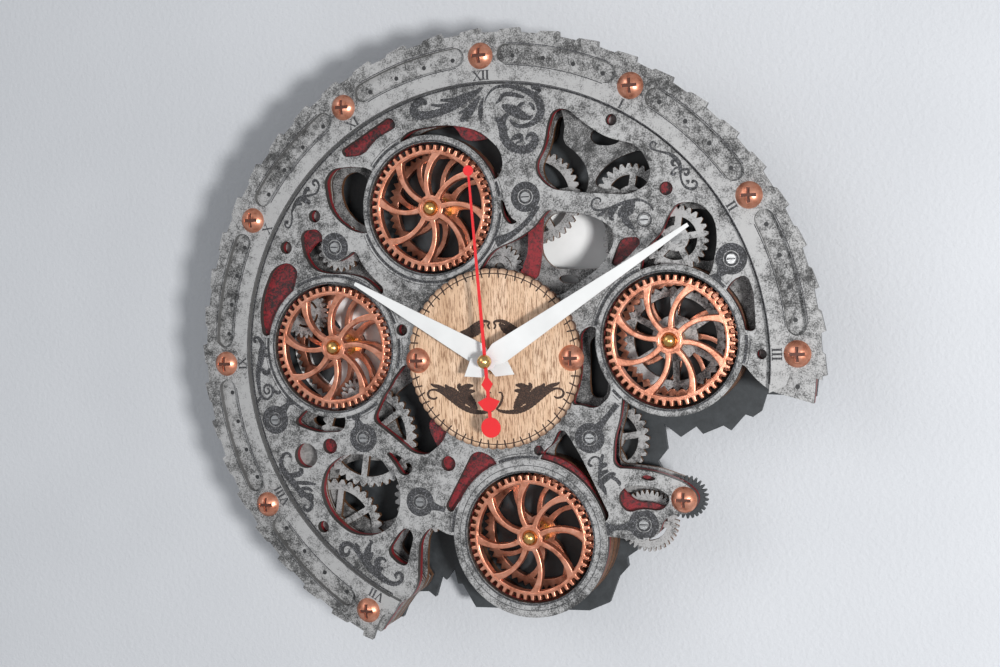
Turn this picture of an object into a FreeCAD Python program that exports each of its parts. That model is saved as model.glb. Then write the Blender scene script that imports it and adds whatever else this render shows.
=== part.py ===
import FreeCAD, Part
from FreeCAD import Vector
import math
import os

# Gear wall clock with a bitten dial, hung on a wall.
# Origin: on the wall, behind the axis of the hands. +X to the viewer's right, +Z up,
# the dial faces -Y. A depth is a distance from the wall, measured towards the viewer.

# Dial
screw_circle_radius = 165.0
ring_inner_width = 14.0
slot_width = 10.5
slot_shift = 0.75
ring_edge_width = 6.4
ring_tooth_height = 2.6
ring_tooth_rise = 1.4
ring_thickness = 3.5
ring_teeth = 50
slot_half_angle = 9.9
plate_step = 3.4
frame_step = 2.0

# Stack of plates, from the wall to the dial
foot_height = 18.0
back_plate_thickness = 4.0
lower_frame_thickness = 11.0
toothed_layer_thickness = 3.0
upper_frame_thickness = 8.0
red_plate_thickness = 3.0
front_plate_thickness = 4.0
bezel_rise = 0.8
bezel_shoulder = 0.6

# Copper wheels
wheel_tip_radius = 35.2
wheel_root_radius = 32.4
wheel_rim_inner_radius = 30.0
wheel_hub_radius = 7.4
wheel_thickness = 5.0
wheel_teeth = 50
wheel_spokes = 8
rear_wheel_tip_radius = 34.0
rear_wheel_root_radius = 31.4
rear_rim_inner_radius = 28.0
rear_hub_radius = 9.0
rear_wheel_thickness = 4.5
rear_boss_radius = 7.0
front_wheel_bezel_gap = 1.4
bezel_width = 3.9
bottom_bezel_width = 8.0

# Wheel axles
cap_radius = 4.1
cap_height = 3.6
spacer_radius = 5.6
hex_across_flats = 12.0
hex_height = 3.5
journal_radius = 3.0
axle_end_depth = 1.5
bush_radius = 4.6
bush_flange_radius = 7.0
bush_flange_thickness = 2.5
bush_end_depth = 12.0
press_gap = 0.02
running_gap = 0.05
end_play = 0.3
wall_gap = 0.3

# Belt drive behind the back plate
pulley_flange_radius = 13.0
pulley_groove_radius = 10.5
pulley_back_depth = 2.0
pulley_flange_thickness = 1.2
pulley_hub_radius = 6.0
belt_width = 2.6
belt_thickness = 2.2
motor_x = -52.0
motor_z = -57.0
motor_radius = 18.0
motor_height = 9.5
motor_shaft_radius = 2.0
motor_bore_depth = 8.0
drive_ratio = 2.0

# Battery box of the drive motor
cell_radius = 7.1
cell_length = 50.0
cell_cap_radius = 2.7
cell_cap_length = 1.4
box_wall = 1.6
box_depth = 15.8
box_end_room = 2.0
box_x = 3.0
box_z = -56.0

# Wall side
foot_radius = 8.0
foot_inset = 14.0
foot_angles = (30, 82, 225, 270, 330)
low_foot_x = 26.0
low_foot_z = -132.0
hanger_width = 46.0
hanger_height = 22.0
hanger_thickness = 2.0
hanger_z = 150.0
head_room_z = 153.5
hanger_hole_radius = 4.5
hanger_slot_radius = 2.2
hanger_slot_length = 7.0
head_room_radius = 9.0
access_width = 62.0
access_height = 60.0

# Movement
case_width = 56.0
case_depth = 18.0
case_wall = 1.5
cover_thickness = 1.4
cell_bay_height = 18.0
stem_radius = 4.0
stem_bore_radius = 2.6
stem_length = 14.0
nut_across_flats = 13.0
nut_thickness = 3.0
hour_tube_radius = 2.55
hour_tube_bore = 1.65
minute_tube_radius = 1.6
minute_tube_bore = 0.6
seconds_arbor_radius = 0.55
motion_distance = 8.4
train_tooth_height = 0.8
train_wheel_thickness = 1.6
cannon_teeth = 8
motion_teeth = 24
motion_pinion_teeth = 8
hour_teeth = 32
setting_teeth = 8
motion_pin_radius = 0.8
seconds_wheel_radius = 6.0
seconds_teeth = 20
knob_radius = 5.0
knob_thickness = 2.4
knob_shaft_radius = 1.5
step_motor_width = 24.0
step_motor_height = 8.0
step_motor_depth = 8.0
step_motor_z = 20.0

# Wooden centre disc
disc_radius = 50.0
disc_thickness = 4.0
disc_scallops = 60
disc_scallop_height = 0.9
disc_screw_x = 44.5

# Hands
hour_hand_length = 89.5
minute_hand_length = 132.0
second_hand_length = 103.0
hand_thickness = 0.8
hand_half_width = 6.2
hand_tip_half_width = 1.0
hand_shoulder = 7.5
hand_tail = 16.0
hand_boss_radius = 5.0
hour_hand_back = 61.0
minute_hand_back = 64.6
second_hand_back = 68.2
hour_hand_turn = -60.3
minute_hand_turn = 58.6
second_hand_turn = -2.7
needle_half_width = 0.9
needle_dot_radius = 2.8
tail_diamond_radius = 12.5
tail_diamond_half_width = 3.2
tail_anchor_inner = 19.0
tail_anchor_outer = 27.5
tail_anchor_half_width = 6.3
tail_disc_radius = 5.5
tail_disc_centre = 36.0
ball_radius = 3.8

# Screws
screw_head_radius = 7.1
screw_head_height = 4.0
screw_shank_radius = 2.4
screw_length = 24.0
short_screw_length = 10.0
cross_length = 8.2
cross_width = 1.9
cross_depth = 1.6
lug_radius = 7.8
lug_screw_radius = 2.5
lug_screw_height = 0.9
lug_shank_radius = 1.6
lug_slot_width = 0.8

# Fixed gears
gear_thickness = 3.0
gear_tooth_height = 2.6
gear_rim_width = 3.6
gear_hub_radius = 7.0
gear_bore_radius = 3.0
gear_spoke_turn = 10
post_radius = 5.0
post_flange_thickness = 1.5
post_screw_length = 4.0
white_ring_radius = 37.5
white_ring_rim_width = 9.0
white_hub_radius = 12.0
white_bore_radius = 9.0
white_thickness = 2.0
layer_hole_radius = 37.5
layer_tooth_height = 2.0
layer_teeth = 44
middle_gear_radius = 29.0
middle_gear_thickness = 2.6
middle_gear_teeth = 36
middle_gear_spokes = 6

overrun = 5.0
outline_round = 0.45

# Radii of the ring and the plates, from the screw circle outwards
ring_inner_radius = screw_circle_radius - ring_inner_width
slot_inner_radius = screw_circle_radius + slot_shift - slot_width / 2
slot_outer_radius = slot_inner_radius + slot_width
ring_root_radius = slot_outer_radius + ring_edge_width
ring_tip_radius = ring_root_radius + ring_tooth_height
plate_radius = ring_root_radius - plate_step
frame_radius = plate_radius - frame_step
foot_circle_radius = frame_radius - foot_inset

# Depth of each face, worked out from the stack
back_plate_front = foot_height + back_plate_thickness
layer_back = back_plate_front + lower_frame_thickness
layer_front = layer_back + toothed_layer_thickness
red_back = layer_front + upper_frame_thickness
front_plate_back = red_back + red_plate_thickness
dial_face = front_plate_back + front_plate_thickness
disc_face = dial_face + disc_thickness
case_back = red_back - case_depth
wheel_back = dial_face - wheel_thickness
rear_wheel_back = back_plate_front + bush_flange_thickness + end_play
bezel_inner_radius = wheel_tip_radius + front_wheel_bezel_gap
belt_line = wall_gap + belt_thickness / 2
motor_groove_radius = (pulley_groove_radius + belt_line) / drive_ratio - belt_line
motor_flange_radius = motor_groove_radius + wall_gap + belt_thickness

# Places on the dial, in hundredths of the screw circle's radius
wheel_place_shares = {
    "top_left": (-20.9, 51.1),
    "left": (-59.4, 4.8),
    "right": (59.1, 4.8),
    "bottom": (9.2, -60.4),
}
wheel_turn_shares = {"top_left": 38.0, "left": 40.0, "right": 8.0, "bottom": 26.0}

# One tooth of the chapter ring, as shares of its pitch: drop, foot, rise and tip
ring_tooth_shares = (0.03, 0.47, 0.53, 1.0)

# Sides of a sickle spoke at the hub, the middle and the rim, in degrees from its line
spoke_lead_angles = (12, 7.5, 21)
spoke_trail_angles = (-13, -1.5, 11)

# Waist and tail wings of the white hands, as shares of the half width and the tail
hand_waist_share = 0.55
hand_wing_share = 0.45

# Ends of the red hand's tail pieces, as shares of the lengths they belong to
needle_tip_share = 0.6
diamond_end_shares = (0.6, 1.4)
anchor_side_share = 1.15
anchor_foot_shares = (0.5, 0.96)

# Width of a fixed gear's tooth at its tip, as a share of the pitch
gear_top_share = 0.3

# Window of the white wheel: where it starts and ends, clockwise from the top
white_window_angles = (215, 325)

# Outline of the piece bitten out of the front plates
bite_shares = [
    (112.1, -18.2), (90.9, -11.8), (86.1, -7.6), (82.4, -2.4), (58.8, -4.8), (43.6, -8.5),
    (41.8, -20.6), (39.4, -27.3), (38.8, -36.7), (45.5, -36.8), (53.3, -37.9), (63.0, -41.5),
    (67.3, -46.1), (64.2, -51.5), (58.2, -51.5), (54.8, -53.9), (52.7, -59.4), (46.1, -60.6),
    (36.4, -59.1), (18.2, -59.4), (-7.3, -58.2), (-18.8, -60.6), (-25.8, -56.7), (-30.6, -61.8),
    (-31.5, -70.3), (-31.8, -77.0), (-34.5, -81.8), (-38.8, -84.2), (-48.5, -97.0),
    (-57.6, -112.7), (0.0, -127.3), (121.2, -121.2),
]

# Broken ends of the chapter ring
ring_bite_shares = [
    (118.2, -12.1), (109.1, -9.1), (102.7, -6.7), (100.0, -5.6), (97.3, -7.0), (96.1, -10.0),
    (90.9, -12.1), (84.8, -15.2), (50.0, -30.0), (-12.1, -60.9), (-34.5, -80.0), (-38.5, -83.6),
    (-40.6, -87.6), (-44.5, -87.9), (-46.4, -90.9), (-48.8, -96.4), (-50.9, -103.0),
    (-56.4, -125.2), (40.0, -130.0), (121.2, -90.0),
]

# Jagged edge of the back plate
jagged_shares = [
    (112.0, -16.0), (87.0, -14.7), (85.1, -20.3), (82.3, -22.2), (79.8, -21.3), (75.0, -26.6),
    (72.5, -25.0), (65.6, -27.8), (63.4, -25.3), (58.1, -28.8), (52.4, -24.4), (53.3, -32.9),
    (49.9, -37.0), (51.8, -40.4), (44.5, -52.0), (46.0, -58.5), (41.1, -62.5), (41.6, -67.5),
    (37.9, -70.0), (38.3, -73.2), (34.8, -76.9), (31.3, -85.7), (24.1, -88.8), (-17.4, -89.2),
    (-22.1, -81.0), (-23.9, -81.0), (-24.9, -75.6), (-28.1, -79.8), (-29.9, -78.2),
    (-32.5, -86.0), (-35.0, -84.1), (-41.3, -84.4), (-50.0, -104.0), (-58.0, -125.0),
    (40.0, -130.0), (121.2, -120.0),
]

# Windows through the front plate and the red plate
open_window_shares = {
    "beside_top_left": [
        (-48.5, 66.7), (-56.4, 66.4), (-59.7, 62.4), (-58.5, 53.9), (-55.8, 49.1),
        (-49.1, 43.9), (-41.2, 43.6), (-37.6, 57.6), (-41.2, 65.5),
    ],
    "between_left_wheels": [
        (-69.7, 45.5), (-63.0, 46.1), (-60.9, 43.3), (-62.1, 39.4), (-60.3, 35.5),
        (-56.7, 34.1), (-53.0, 35.8), (-49.1, 38.5), (-46.7, 32.7), (-42.4, 27.9),
        (-39.1, 24.8), (-40.0, 22.1), (-42.4, 24.8), (-46.1, 28.2), (-51.5, 29.9),
        (-59.4, 30.2), (-65.5, 31.8), (-69.1, 37.6),
    ],
    "above_top_left": [
        (-32.4, 73.3), (-27.3, 77.6), (-13.3, 78.8), (-1.8, 75.8), (4.8, 69.1),
        (5.8, 63.6), (2.4, 58.2), (-7.3, 67.9), (-20.6, 72.7),
    ],
    "upper_right": [
        (23.3, 81.1), (21.2, 76.4), (20.0, 69.7), (15.5, 62.4), (20.9, 55.2), (33.0, 53.6),
        (47.9, 52.0), (54.2, 55.2), (55.3, 60.0), (51.5, 67.9), (40.6, 70.9), (33.3, 76.4),
        (28.1, 81.2),
    ],
    "above_disc": [
        (-4.2, 30.3), (0.0, 36.1), (9.1, 39.4), (15.2, 43.0), (18.2, 46.7), (20.0, 48.5),
        (30.3, 47.3), (36.4, 45.5), (41.8, 41.8), (42.4, 37.6), (40.0, 32.7), (36.4, 28.5),
        (30.3, 24.8), (24.0, 20.5), (19.0, 20.5), (9.7, 26.1), (0.0, 27.9), (-4.8, 28.5),
    ],
    "upper_leaf": [
        (4.2, 53.0), (5.3, 52.0), (6.3, 48.8), (7.9, 46.2), (10.2, 45.1), (6.8, 44.1),
        (4.8, 47.0), (4.2, 49.7),
    ],
    "right": [
        (60.0, 44.8), (63.0, 48.8), (70.3, 48.8), (75.2, 43.6), (75.9, 36.4), (73.3, 24.2),
        (63.6, 20.6), (49.7, 24.2), (51.5, 33.9), (57.6, 39.4),
    ],
    "right_rim": [
        (84.8, 25.5), (86.8, 19.4), (87.0, 7.3), (83.6, 7.3), (76.4, 18.2), (80.0, 23.6),
    ],
    "below_left": [
        (-76.4, -21.5), (-70.3, -15.8), (-60.6, -14.5), (-55.8, -18.2), (-56.4, -24.5),
        (-66.1, -25.0), (-71.5, -23.6),
    ],
    "spoked_gear": [
        (-46.1, -20.6), (-39.4, -25.5), (-31.5, -32.1), (-26.1, -32.7), (-20.0, -27.9),
        (-18.0, -23.0), (-24.0, -14.5), (-28.5, -4.0), (-33.0, -1.0), (-36.0, -4.5),
        (-40.0, -9.3), (-43.6, -15.8),
    ],
    "small_slot": [
        (-42.1, -31.2), (-36.4, -32.7), (-30.6, -37.0), (-35.2, -40.9), (-39.4, -34.5),
    ],
    "round": [
        (-67.3, -45.5), (-64.8, -37.6), (-58.8, -33.0), (-51.5, -32.1), (-42.4, -34.2),
        (-37.6, -40.0), (-36.4, -48.5), (-39.4, -57.0), (-47.3, -61.2), (-56.4, -60.6),
        (-64.2, -53.9),
    ],
    "leaf": [
        (-34.8, -57.3), (-32.4, -60.6), (-34.5, -67.3), (-35.5, -71.5), (-39.4, -70.3),
        (-43.0, -66.4), (-38.2, -59.7),
    ],
    "right_of_bottom": [
        (21.8, -22.1), (27.9, -32.1), (37.6, -53.3), (32.7, -55.8), (26.7, -42.4),
        (13.3, -35.2), (15.5, -30.9), (18.2, -29.1),
    ],
    "beside_disc": [
        (29.1, 8.5), (35.2, 10.9), (36.4, 0.0), (40.0, -12.1), (33.9, -17.3),
        (28.5, -15.8), (25.5, -15.8), (29.1, -6.1),
    ],
    "crescent": [
        (40.3, -45.5), (42.5, -42.8), (48.5, -42.0), (54.5, -43.3), (58.2, -46.5),
        (54.6, -50.8), (48.5, -49.8), (43.5, -51.3), (40.8, -49.0),
    ],
}

# Windows of the front plate that the red plate closes
red_window_shares = {
    "red_top": [
        (-52.7, 72.4), (-33.9, 82.9), (-31.2, 79.1), (-39.4, 75.5), (-44.2, 70.0),
        (-51.5, 70.0),
    ],
    "red_right": [
        (44.5, 38.5), (53.0, 38.5), (45.5, 30.9), (40.3, 28.5), (42.4, 33.9),
    ],
    "red_left": [
        (-81.2, 33.0), (-75.2, 35.2), (-70.9, 32.1), (-73.9, 23.0), (-81.2, 10.9),
        (-86.1, 8.5), (-87.0, 17.0), (-85.5, 24.2),
    ],
    "red_bottom": [
        (-9.1, -30.3), (-1.8, -33.3), (0.0, -40.0), (-14.5, -47.3), (-18.2, -52.7),
        (-20.6, -50.3), (-13.9, -38.8),
    ],
    "red_arm": [
        (47.6, -39.6), (50.0, -38.6), (53.2, -39.8), (52.0, -40.7), (49.4, -40.5),
    ],
}

# Bands of the red plate that cross the open windows
red_band_shares = {
    "above_top_left": [
        (-15.2, 80.6), (-10.9, 77.0), (-9.1, 73.6), (-5.4, 72.6), (1.8, 73.5), (4.8, 72.7),
        (6.1, 77.6), (-3.6, 81.2),
    ],
    "above_disc": [
        (12.7, 44.2), (18.0, 48.9), (17.3, 42.4), (17.0, 36.4), (16.1, 31.5), (14.9, 25.5),
        (7.9, 25.5), (10.6, 31.2), (12.1, 34.5), (12.4, 39.4),
    ],
    "between_left_wheels": [
        (-68.5, 48.0), (-59.4, 44.5), (-61.8, 42.2), (-65.5, 40.9), (-69.1, 36.8),
        (-72.5, 39.0),
    ],
    "beside_disc": [
        (-26.1, -21.8), (-25.4, -25.5), (-23.6, -29.1), (-21.6, -33.5), (-17.0, -30.5),
        (-14.5, -23.0), (-20.0, -16.0),
    ],
    "right_of_bottom": [
        (10.5, -32.1), (18.2, -33.0), (24.2, -35.8), (29.1, -40.6), (32.7, -47.9),
        (35.0, -54.5), (30.3, -56.0), (23.0, -43.6), (10.5, -37.6),
    ],
    "crescent": [
        (38.5, -44.5), (41.2, -43.8), (44.0, -46.8), (47.0, -48.4), (51.0, -48.2),
        (56.3, -50.0), (54.0, -52.8), (42.0, -52.8), (38.0, -49.5),
    ],
}

# Round holes: place and radius, in hundredths again. The red plate closes the second group.
open_hole_shares = [
    (-63.8, 50.4, 2.2), (-75.3, 40.0, 2.2), (42.8, 76.4, 1.9), (-71.8, -33.0, 4.4),
    (-66.5, -58.1, 2.1), (-33.3, 10.3, 2.0), (88.6, -0.1, 1.6),
]
red_hole_shares = [
    (59.9, 53.5, 2.2), (-62.4, -29.6, 2.7), (-18.6, -35.5, 2.6), (13.7, -30.9, 1.7),
]

# Inner edge of the frames between the plates
frame_inner_shares = [
    (-57.2, 67.0), (-45.0, 71.5), (-33.0, 74.8), (-27.5, 78.2), (-13.2, 79.4), (-1.0, 77.0),
    (8.5, 70.2), (19.5, 70.2), (21.2, 78.8), (23.0, 81.7), (28.4, 81.7), (33.6, 77.0),
    (41.0, 71.6), (52.0, 68.6), (56.5, 60.0), (62.0, 50.0), (71.0, 49.6), (76.2, 44.0),
    (77.2, 36.0), (79.5, 25.5), (85.6, 25.8), (87.6, 19.6), (87.8, 5.0), (86.5, -8.0),
    (84.0, -40.0), (20.0, -100.0), (-30.8, -80.0), (-34.2, -74.0), (-36.0, -72.2),
    (-40.0, -71.0), (-44.2, -67.4), (-47.5, -64.0), (-57.0, -61.5), (-65.2, -54.4),
    (-68.0, -45.6), (-66.5, -35.5), (-72.2, -25.0), (-77.4, -21.8), (-81.5, -14.0),
    (-86.5, -4.0), (-88.0, 12.0), (-86.3, 25.0), (-81.8, 34.2), (-71.0, 37.5), (-70.5, 46.3),
    (-62.5, 48.5), (-60.0, 53.5), (-60.6, 63.0),
]

# Openings of the toothed layer, which let the back plate show
layer_window_shares = {
    "above_disc": [
        (14.8, 33.9), (15.2, 42.4), (18.8, 47.6), (33.3, 47.3), (37.6, 42.4), (37.8, 33.9),
        (37.4, 28.4), (19.0, 28.9),
    ],
    "oval": [
        (20.0, 25.8), (22.4, 27.0), (26.0, 26.4), (27.9, 24.8), (25.5, 23.9), (21.8, 24.2),
    ],
    "upper_right": [
        (23.0, 79.4), (21.2, 76.4), (19.7, 69.7), (16.2, 63.0), (17.4, 58.6), (21.6, 55.0),
        (26.0, 51.5), (40.0, 51.0), (49.7, 52.1), (54.0, 61.8), (51.5, 66.7), (35.8, 73.9),
        (27.9, 79.4),
    ],
    "right": [
        (64.0, 47.5), (74.5, 45.5), (76.7, 36.4), (73.5, 29.0), (62.0, 31.5), (57.0, 38.0),
    ],
    "above_top_left": [
        (-32.7, 71.5), (-27.3, 77.0), (-15.2, 80.0), (-3.0, 78.5), (4.2, 73.3), (6.7, 65.5),
        (4.2, 58.2), (0.0, 58.2), (0.0, 65.5), (-6.1, 71.5), (-18.2, 73.3), (-27.3, 69.1),
    ],
    "beside_top_left": [
        (-55.8, 64.2), (-57.6, 59.4), (-56.4, 53.3), (-52.1, 47.9), (-47.3, 45.5),
        (-45.8, 50.9), (-45.5, 57.6), (-47.3, 63.0), (-50.9, 65.5),
    ],
    "spoked_gear": [
        (-42.5, -14.5), (-38.0, -10.5), (-31.0, -6.5), (-29.0, -13.0), (-24.5, -18.5),
        (-20.5, -26.5), (-24.2, -33.9), (-31.5, -33.9), (-40.0, -26.7),
    ],
    "small_slot": [
        (-40.6, -32.7), (-36.4, -33.9), (-32.1, -37.3), (-34.8, -39.7), (-38.5, -34.8),
    ],
    "below_left": [
        (-73.3, -21.2), (-68.5, -19.1), (-60.6, -20.6), (-57.0, -20.9), (-57.3, -23.9),
        (-65.5, -24.5), (-70.9, -23.6),
    ],
    "round": [
        (-63.0, -38.0), (-56.0, -35.5), (-40.5, -36.5), (-38.0, -44.0), (-41.0, -56.0),
        (-50.0, -58.5), (-62.0, -52.0), (-65.0, -45.0),
    ],
    "leaf": [
        (-35.2, -58.8), (-33.9, -61.2), (-35.8, -69.7), (-38.8, -69.4), (-41.5, -66.1),
        (-37.6, -60.0),
    ],
    "beside_disc": [
        (30.3, 4.8), (33.9, 7.3), (34.5, 0.0), (36.4, -8.5), (35.2, -14.5), (30.3, -14.5),
        (29.7, -9.7), (30.3, -2.4),
    ],
    "right_of_bottom": [
        (16.4, -31.5), (21.8, -24.2), (26.7, -35.2), (31.5, -46.1), (30.9, -49.1),
        (27.9, -44.5), (22.4, -39.1), (16.4, -35.5),
    ],
    "lower_right": [
        (27.0, -25.5), (41.0, -20.5), (38.5, -31.0), (41.0, -50.0), (34.5, -48.0),
        (30.0, -40.0),
    ],
}

# Mottled plate behind the upper right window, and its own openings
bridge_shares = [
    (14.5, 71.0), (22.0, 83.5), (30.0, 83.5), (38.0, 77.0), (54.0, 70.5), (58.0, 60.0),
    (56.0, 52.0), (48.0, 49.5), (20.0, 52.0), (13.0, 60.0),
]
bridge_opening_shares = {
    "left": [
        (24.5, 84.0), (10.0, 84.0), (8.0, 60.0), (12.0, 49.5), (31.0, 49.5), (33.8, 58.0),
        (32.5, 63.0), (29.5, 67.0), (25.0, 70.5), (26.2, 76.0),
    ],
    "right": [
        (34.5, 56.0), (40.0, 54.0), (51.0, 53.5), (54.5, 57.0), (53.5, 65.0), (50.5, 66.5),
        (43.5, 64.5), (38.0, 61.0),
    ],
    "top": [
        (34.0, 72.0), (37.5, 75.5), (45.5, 69.8), (41.0, 68.3), (36.0, 69.0),
    ],
}

# White panels that lie behind the windows
top_panel_shares = [
    (13.0, 52.0), (24.0, 54.0), (44.0, 46.0), (48.0, 33.0), (40.0, 22.5), (29.0, 21.0),
    (18.5, 21.0), (12.0, 32.0),
]

# Lugs that carry a small screw
lug_shares = {
    "small_left": (-56.8, 39.4),
    "upper": (12.8, 53.2),
    "right": (80.0, 30.3),
    "far_left": (-83.0, -20.3),
    "spoked": (-49.6, -26.7),
    "lower_middle": (-29.6, -48.7),
    "below_right": (31.4, -26.7),
    "arm": (48.5, -55.1),
    "plain": (52.5, 43.9),
}
arm_screw_share = (62.1, -46.7)
post_lugs = ("small_left", "upper", "spoked", "lower_middle", "arm")

# Fixed gears: place, tip radius, number of teeth, number of spokes
gear_shares = {
    "gear_spoked": ((-49.6, -26.7), 18.0, 36, 8),
    "gear_lower_left": ((-64.8, -59.7), 17.4, 34, 7),
    "gear_lower_middle": ((-29.6, -48.7), 12.0, 26, 5),
    "gear_small_left": ((-56.8, 39.4), 8.5, 20, 0),
    "gear_upper": ((12.8, 53.2), 15.8, 38, 5),
    "gear_upper_right": ((46.5, 51.0), 11.5, 28, 5),
    "gear_right": ((61.5, 37.5), 10.8, 26, 5),
    "gear_below_right": ((35.8, -28.5), 12.7, 28, 5),
    "gear_arm": ((48.5, -55.1), 10.3, 36, 4),
    "gear_arm_end": ((62.1, -46.7), 7.0, 26, 0),
    "panel": ((43.9, 37.3), 8.2, 22, 4),
    "above_disc": ((0.3, 30.0), 8.2, 24, 4),
    "left_high": ((-72.9, 16.6), 8.8, 26, 5),
    "left_low": ((-55.1, -12.8), 5.8, 18, 0),
}
window_gear_names = ("panel", "above_disc", "left_high", "left_low")


def dial_share(share):
    """A length on the dial, from hundredths of the screw circle's radius."""
    return share * screw_circle_radius / 100


def place(shares):
    """A point on the dial, from its two shares."""
    return dial_share(shares[0]), dial_share(shares[1])


def at(point, depth):
    """The point of the dial (x, z) at a depth from the wall."""
    return Vector(point[0], -depth, point[1])


def polar(radius, clock_angle, centre=(0, 0)):
    """The point at a radius and an angle, clockwise from the top, about a centre."""
    turn = math.radians(clock_angle)
    return centre[0] + radius * math.sin(turn), centre[1] + radius * math.cos(turn)


def disc_face_at(centre, radius, depth):
    circle = Part.Circle(at(centre, depth), Vector(0, -1, 0), radius)
    return Part.Face(Part.Wire([circle.toShape()]))


def cylinder(centre, radius, back, front):
    return Part.makeCylinder(radius, front - back, at(centre, back), Vector(0, -1, 0))


def tube(centre, outer, inner, back, front):
    body = cylinder(centre, outer, back, front)
    return body.cut(cylinder(centre, inner, back - overrun, front + overrun))


def slab(face, thickness):
    """A face raised towards the viewer."""
    return face.extrude(Vector(0, -thickness, 0))


def solid_of(shape):
    """The single solid of a clean shape."""
    if len(shape.Solids) > 1:
        shape = shape.Solids[0].fuse(shape.Solids[1:])
    clean = shape.removeSplitter()
    if len(clean.Solids) == 1:
        return clean.Solids[0]
    return clean


def straight_face(points, depth):
    corners = [at(point, depth) for point in points]
    return Part.Face(Part.makePolygon(corners + corners[:1]))


def flowing_face(points, depth, round_share=outline_round):
    """A face whose sides run straight between arcs, one arc at each point."""
    corners = [at(point, depth) for point in points]
    count = len(corners)
    arcs = []
    for index in range(count):
        here = corners[index]
        back_run = corners[index - 1] - here
        next_run = corners[(index + 1) % count] - here
        reach = round_share * min(back_run.Length, next_run.Length)
        start = here + back_run.normalize() * reach
        end = here + next_run.normalize() * reach
        inward = back_run + next_run
        half_turn = (math.pi - back_run.getAngle(next_run)) / 2
        radius = reach / math.tan(half_turn)
        inward.normalize()
        middle = here + inward * (math.hypot(radius, reach) - radius)
        arcs.append((start, middle, end))
    edges = []
    for index in range(count):
        edges.append(Part.Arc(*arcs[index]).toShape())
        edges.append(Part.LineSegment(arcs[index][2], arcs[(index + 1) % count][0]).toShape())
    return Part.Face(Part.Wire(edges))


def dial_outline(shares, depth, round_share=outline_round):
    return flowing_face([place(pair) for pair in shares], depth, round_share)


def gear_face(centre, tip, root, teeth, depth, top_share=0.42, foot_share=0.58, start=0):
    """A toothed disc: tooth tops and feet take these shares of the pitch."""
    pitch = 360 / teeth
    points = []
    for index in range(teeth):
        middle = start + index * pitch
        foot = foot_share * pitch / 2
        points.append(polar(root, middle - foot, centre))
        if top_share:
            top = top_share * pitch / 2
            points.append(polar(tip, middle - top, centre))
            points.append(polar(tip, middle + top, centre))
        else:
            points.append(polar(tip, middle, centre))
        if foot_share < 1:
            points.append(polar(root, middle + foot, centre))
    return straight_face(points, depth)


def spoke_window(centre, spoke_turn, pitch, hub, rim, depth):
    """The opening between one sickle spoke and the next one clockwise."""
    middle = (hub + rim) / 2
    hub_lead, middle_lead, rim_lead = spoke_lead_angles
    hub_trail, middle_trail, rim_trail = spoke_trail_angles
    following = spoke_turn + pitch
    leading = [polar(hub, spoke_turn + hub_lead, centre),
               polar(middle, spoke_turn + middle_lead, centre),
               polar(rim, spoke_turn + rim_lead, centre)]
    trailing = [polar(rim, following + rim_trail, centre),
                polar(middle, following + middle_trail, centre),
                polar(hub, following + hub_trail, centre)]
    rim_middle = polar(rim, (spoke_turn + rim_lead + following + rim_trail) / 2, centre)
    hub_middle = polar(hub, (spoke_turn + hub_lead + following + hub_trail) / 2, centre)
    edges = [
        Part.Arc(*[at(point, depth) for point in leading]).toShape(),
        Part.Arc(at(leading[2], depth), at(rim_middle, depth), at(trailing[0], depth)).toShape(),
        Part.Arc(*[at(point, depth) for point in trailing]).toShape(),
        Part.Arc(at(trailing[2], depth), at(hub_middle, depth), at(leading[0], depth)).toShape(),
    ]
    return Part.Face(Part.Wire(edges))


def straight_spoke_windows(centre, hub, rim, spokes, spoke_width, depth, turn=0):
    """Openings between straight spokes, each bounded by two arcs."""
    windows = []
    for index in range(spokes):
        first = turn + index * 360 / spokes
        last = first + 360 / spokes
        near = math.degrees(math.asin(spoke_width / 2 / hub))
        far = math.degrees(math.asin(spoke_width / 2 / rim))
        inner = [polar(hub, first + near, centre), polar(hub, (first + last) / 2, centre),
                 polar(hub, last - near, centre)]
        outer = [polar(rim, last - far, centre), polar(rim, (first + last) / 2, centre),
                 polar(rim, first + far, centre)]
        edges = [
            Part.Arc(*[at(point, depth) for point in inner]).toShape(),
            Part.LineSegment(at(inner[2], depth), at(outer[0], depth)).toShape(),
            Part.Arc(*[at(point, depth) for point in outer]).toShape(),
            Part.LineSegment(at(outer[2], depth), at(inner[0], depth)).toShape(),
        ]
        windows.append(Part.Face(Part.Wire(edges)))
    return windows


def bezel_outer_radius(name):
    width = bottom_bezel_width if name == "bottom" else bezel_width
    return bezel_inner_radius + width


def wheel_centre(name):
    return place(wheel_place_shares[name])


def hour_points():
    """Places of the hour screws, from seven round to three."""
    return [polar(screw_circle_radius, 30 * hour) for hour in range(-5, 4)]


def screw_points():
    """Places of all the large screws: hours, wooden disc and arm."""
    return hour_points() + [(-disc_screw_x, 0), (disc_screw_x, 0), place(arm_screw_share)]


def lug_points():
    return [place(shares) for shares in lug_shares.values()]


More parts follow.
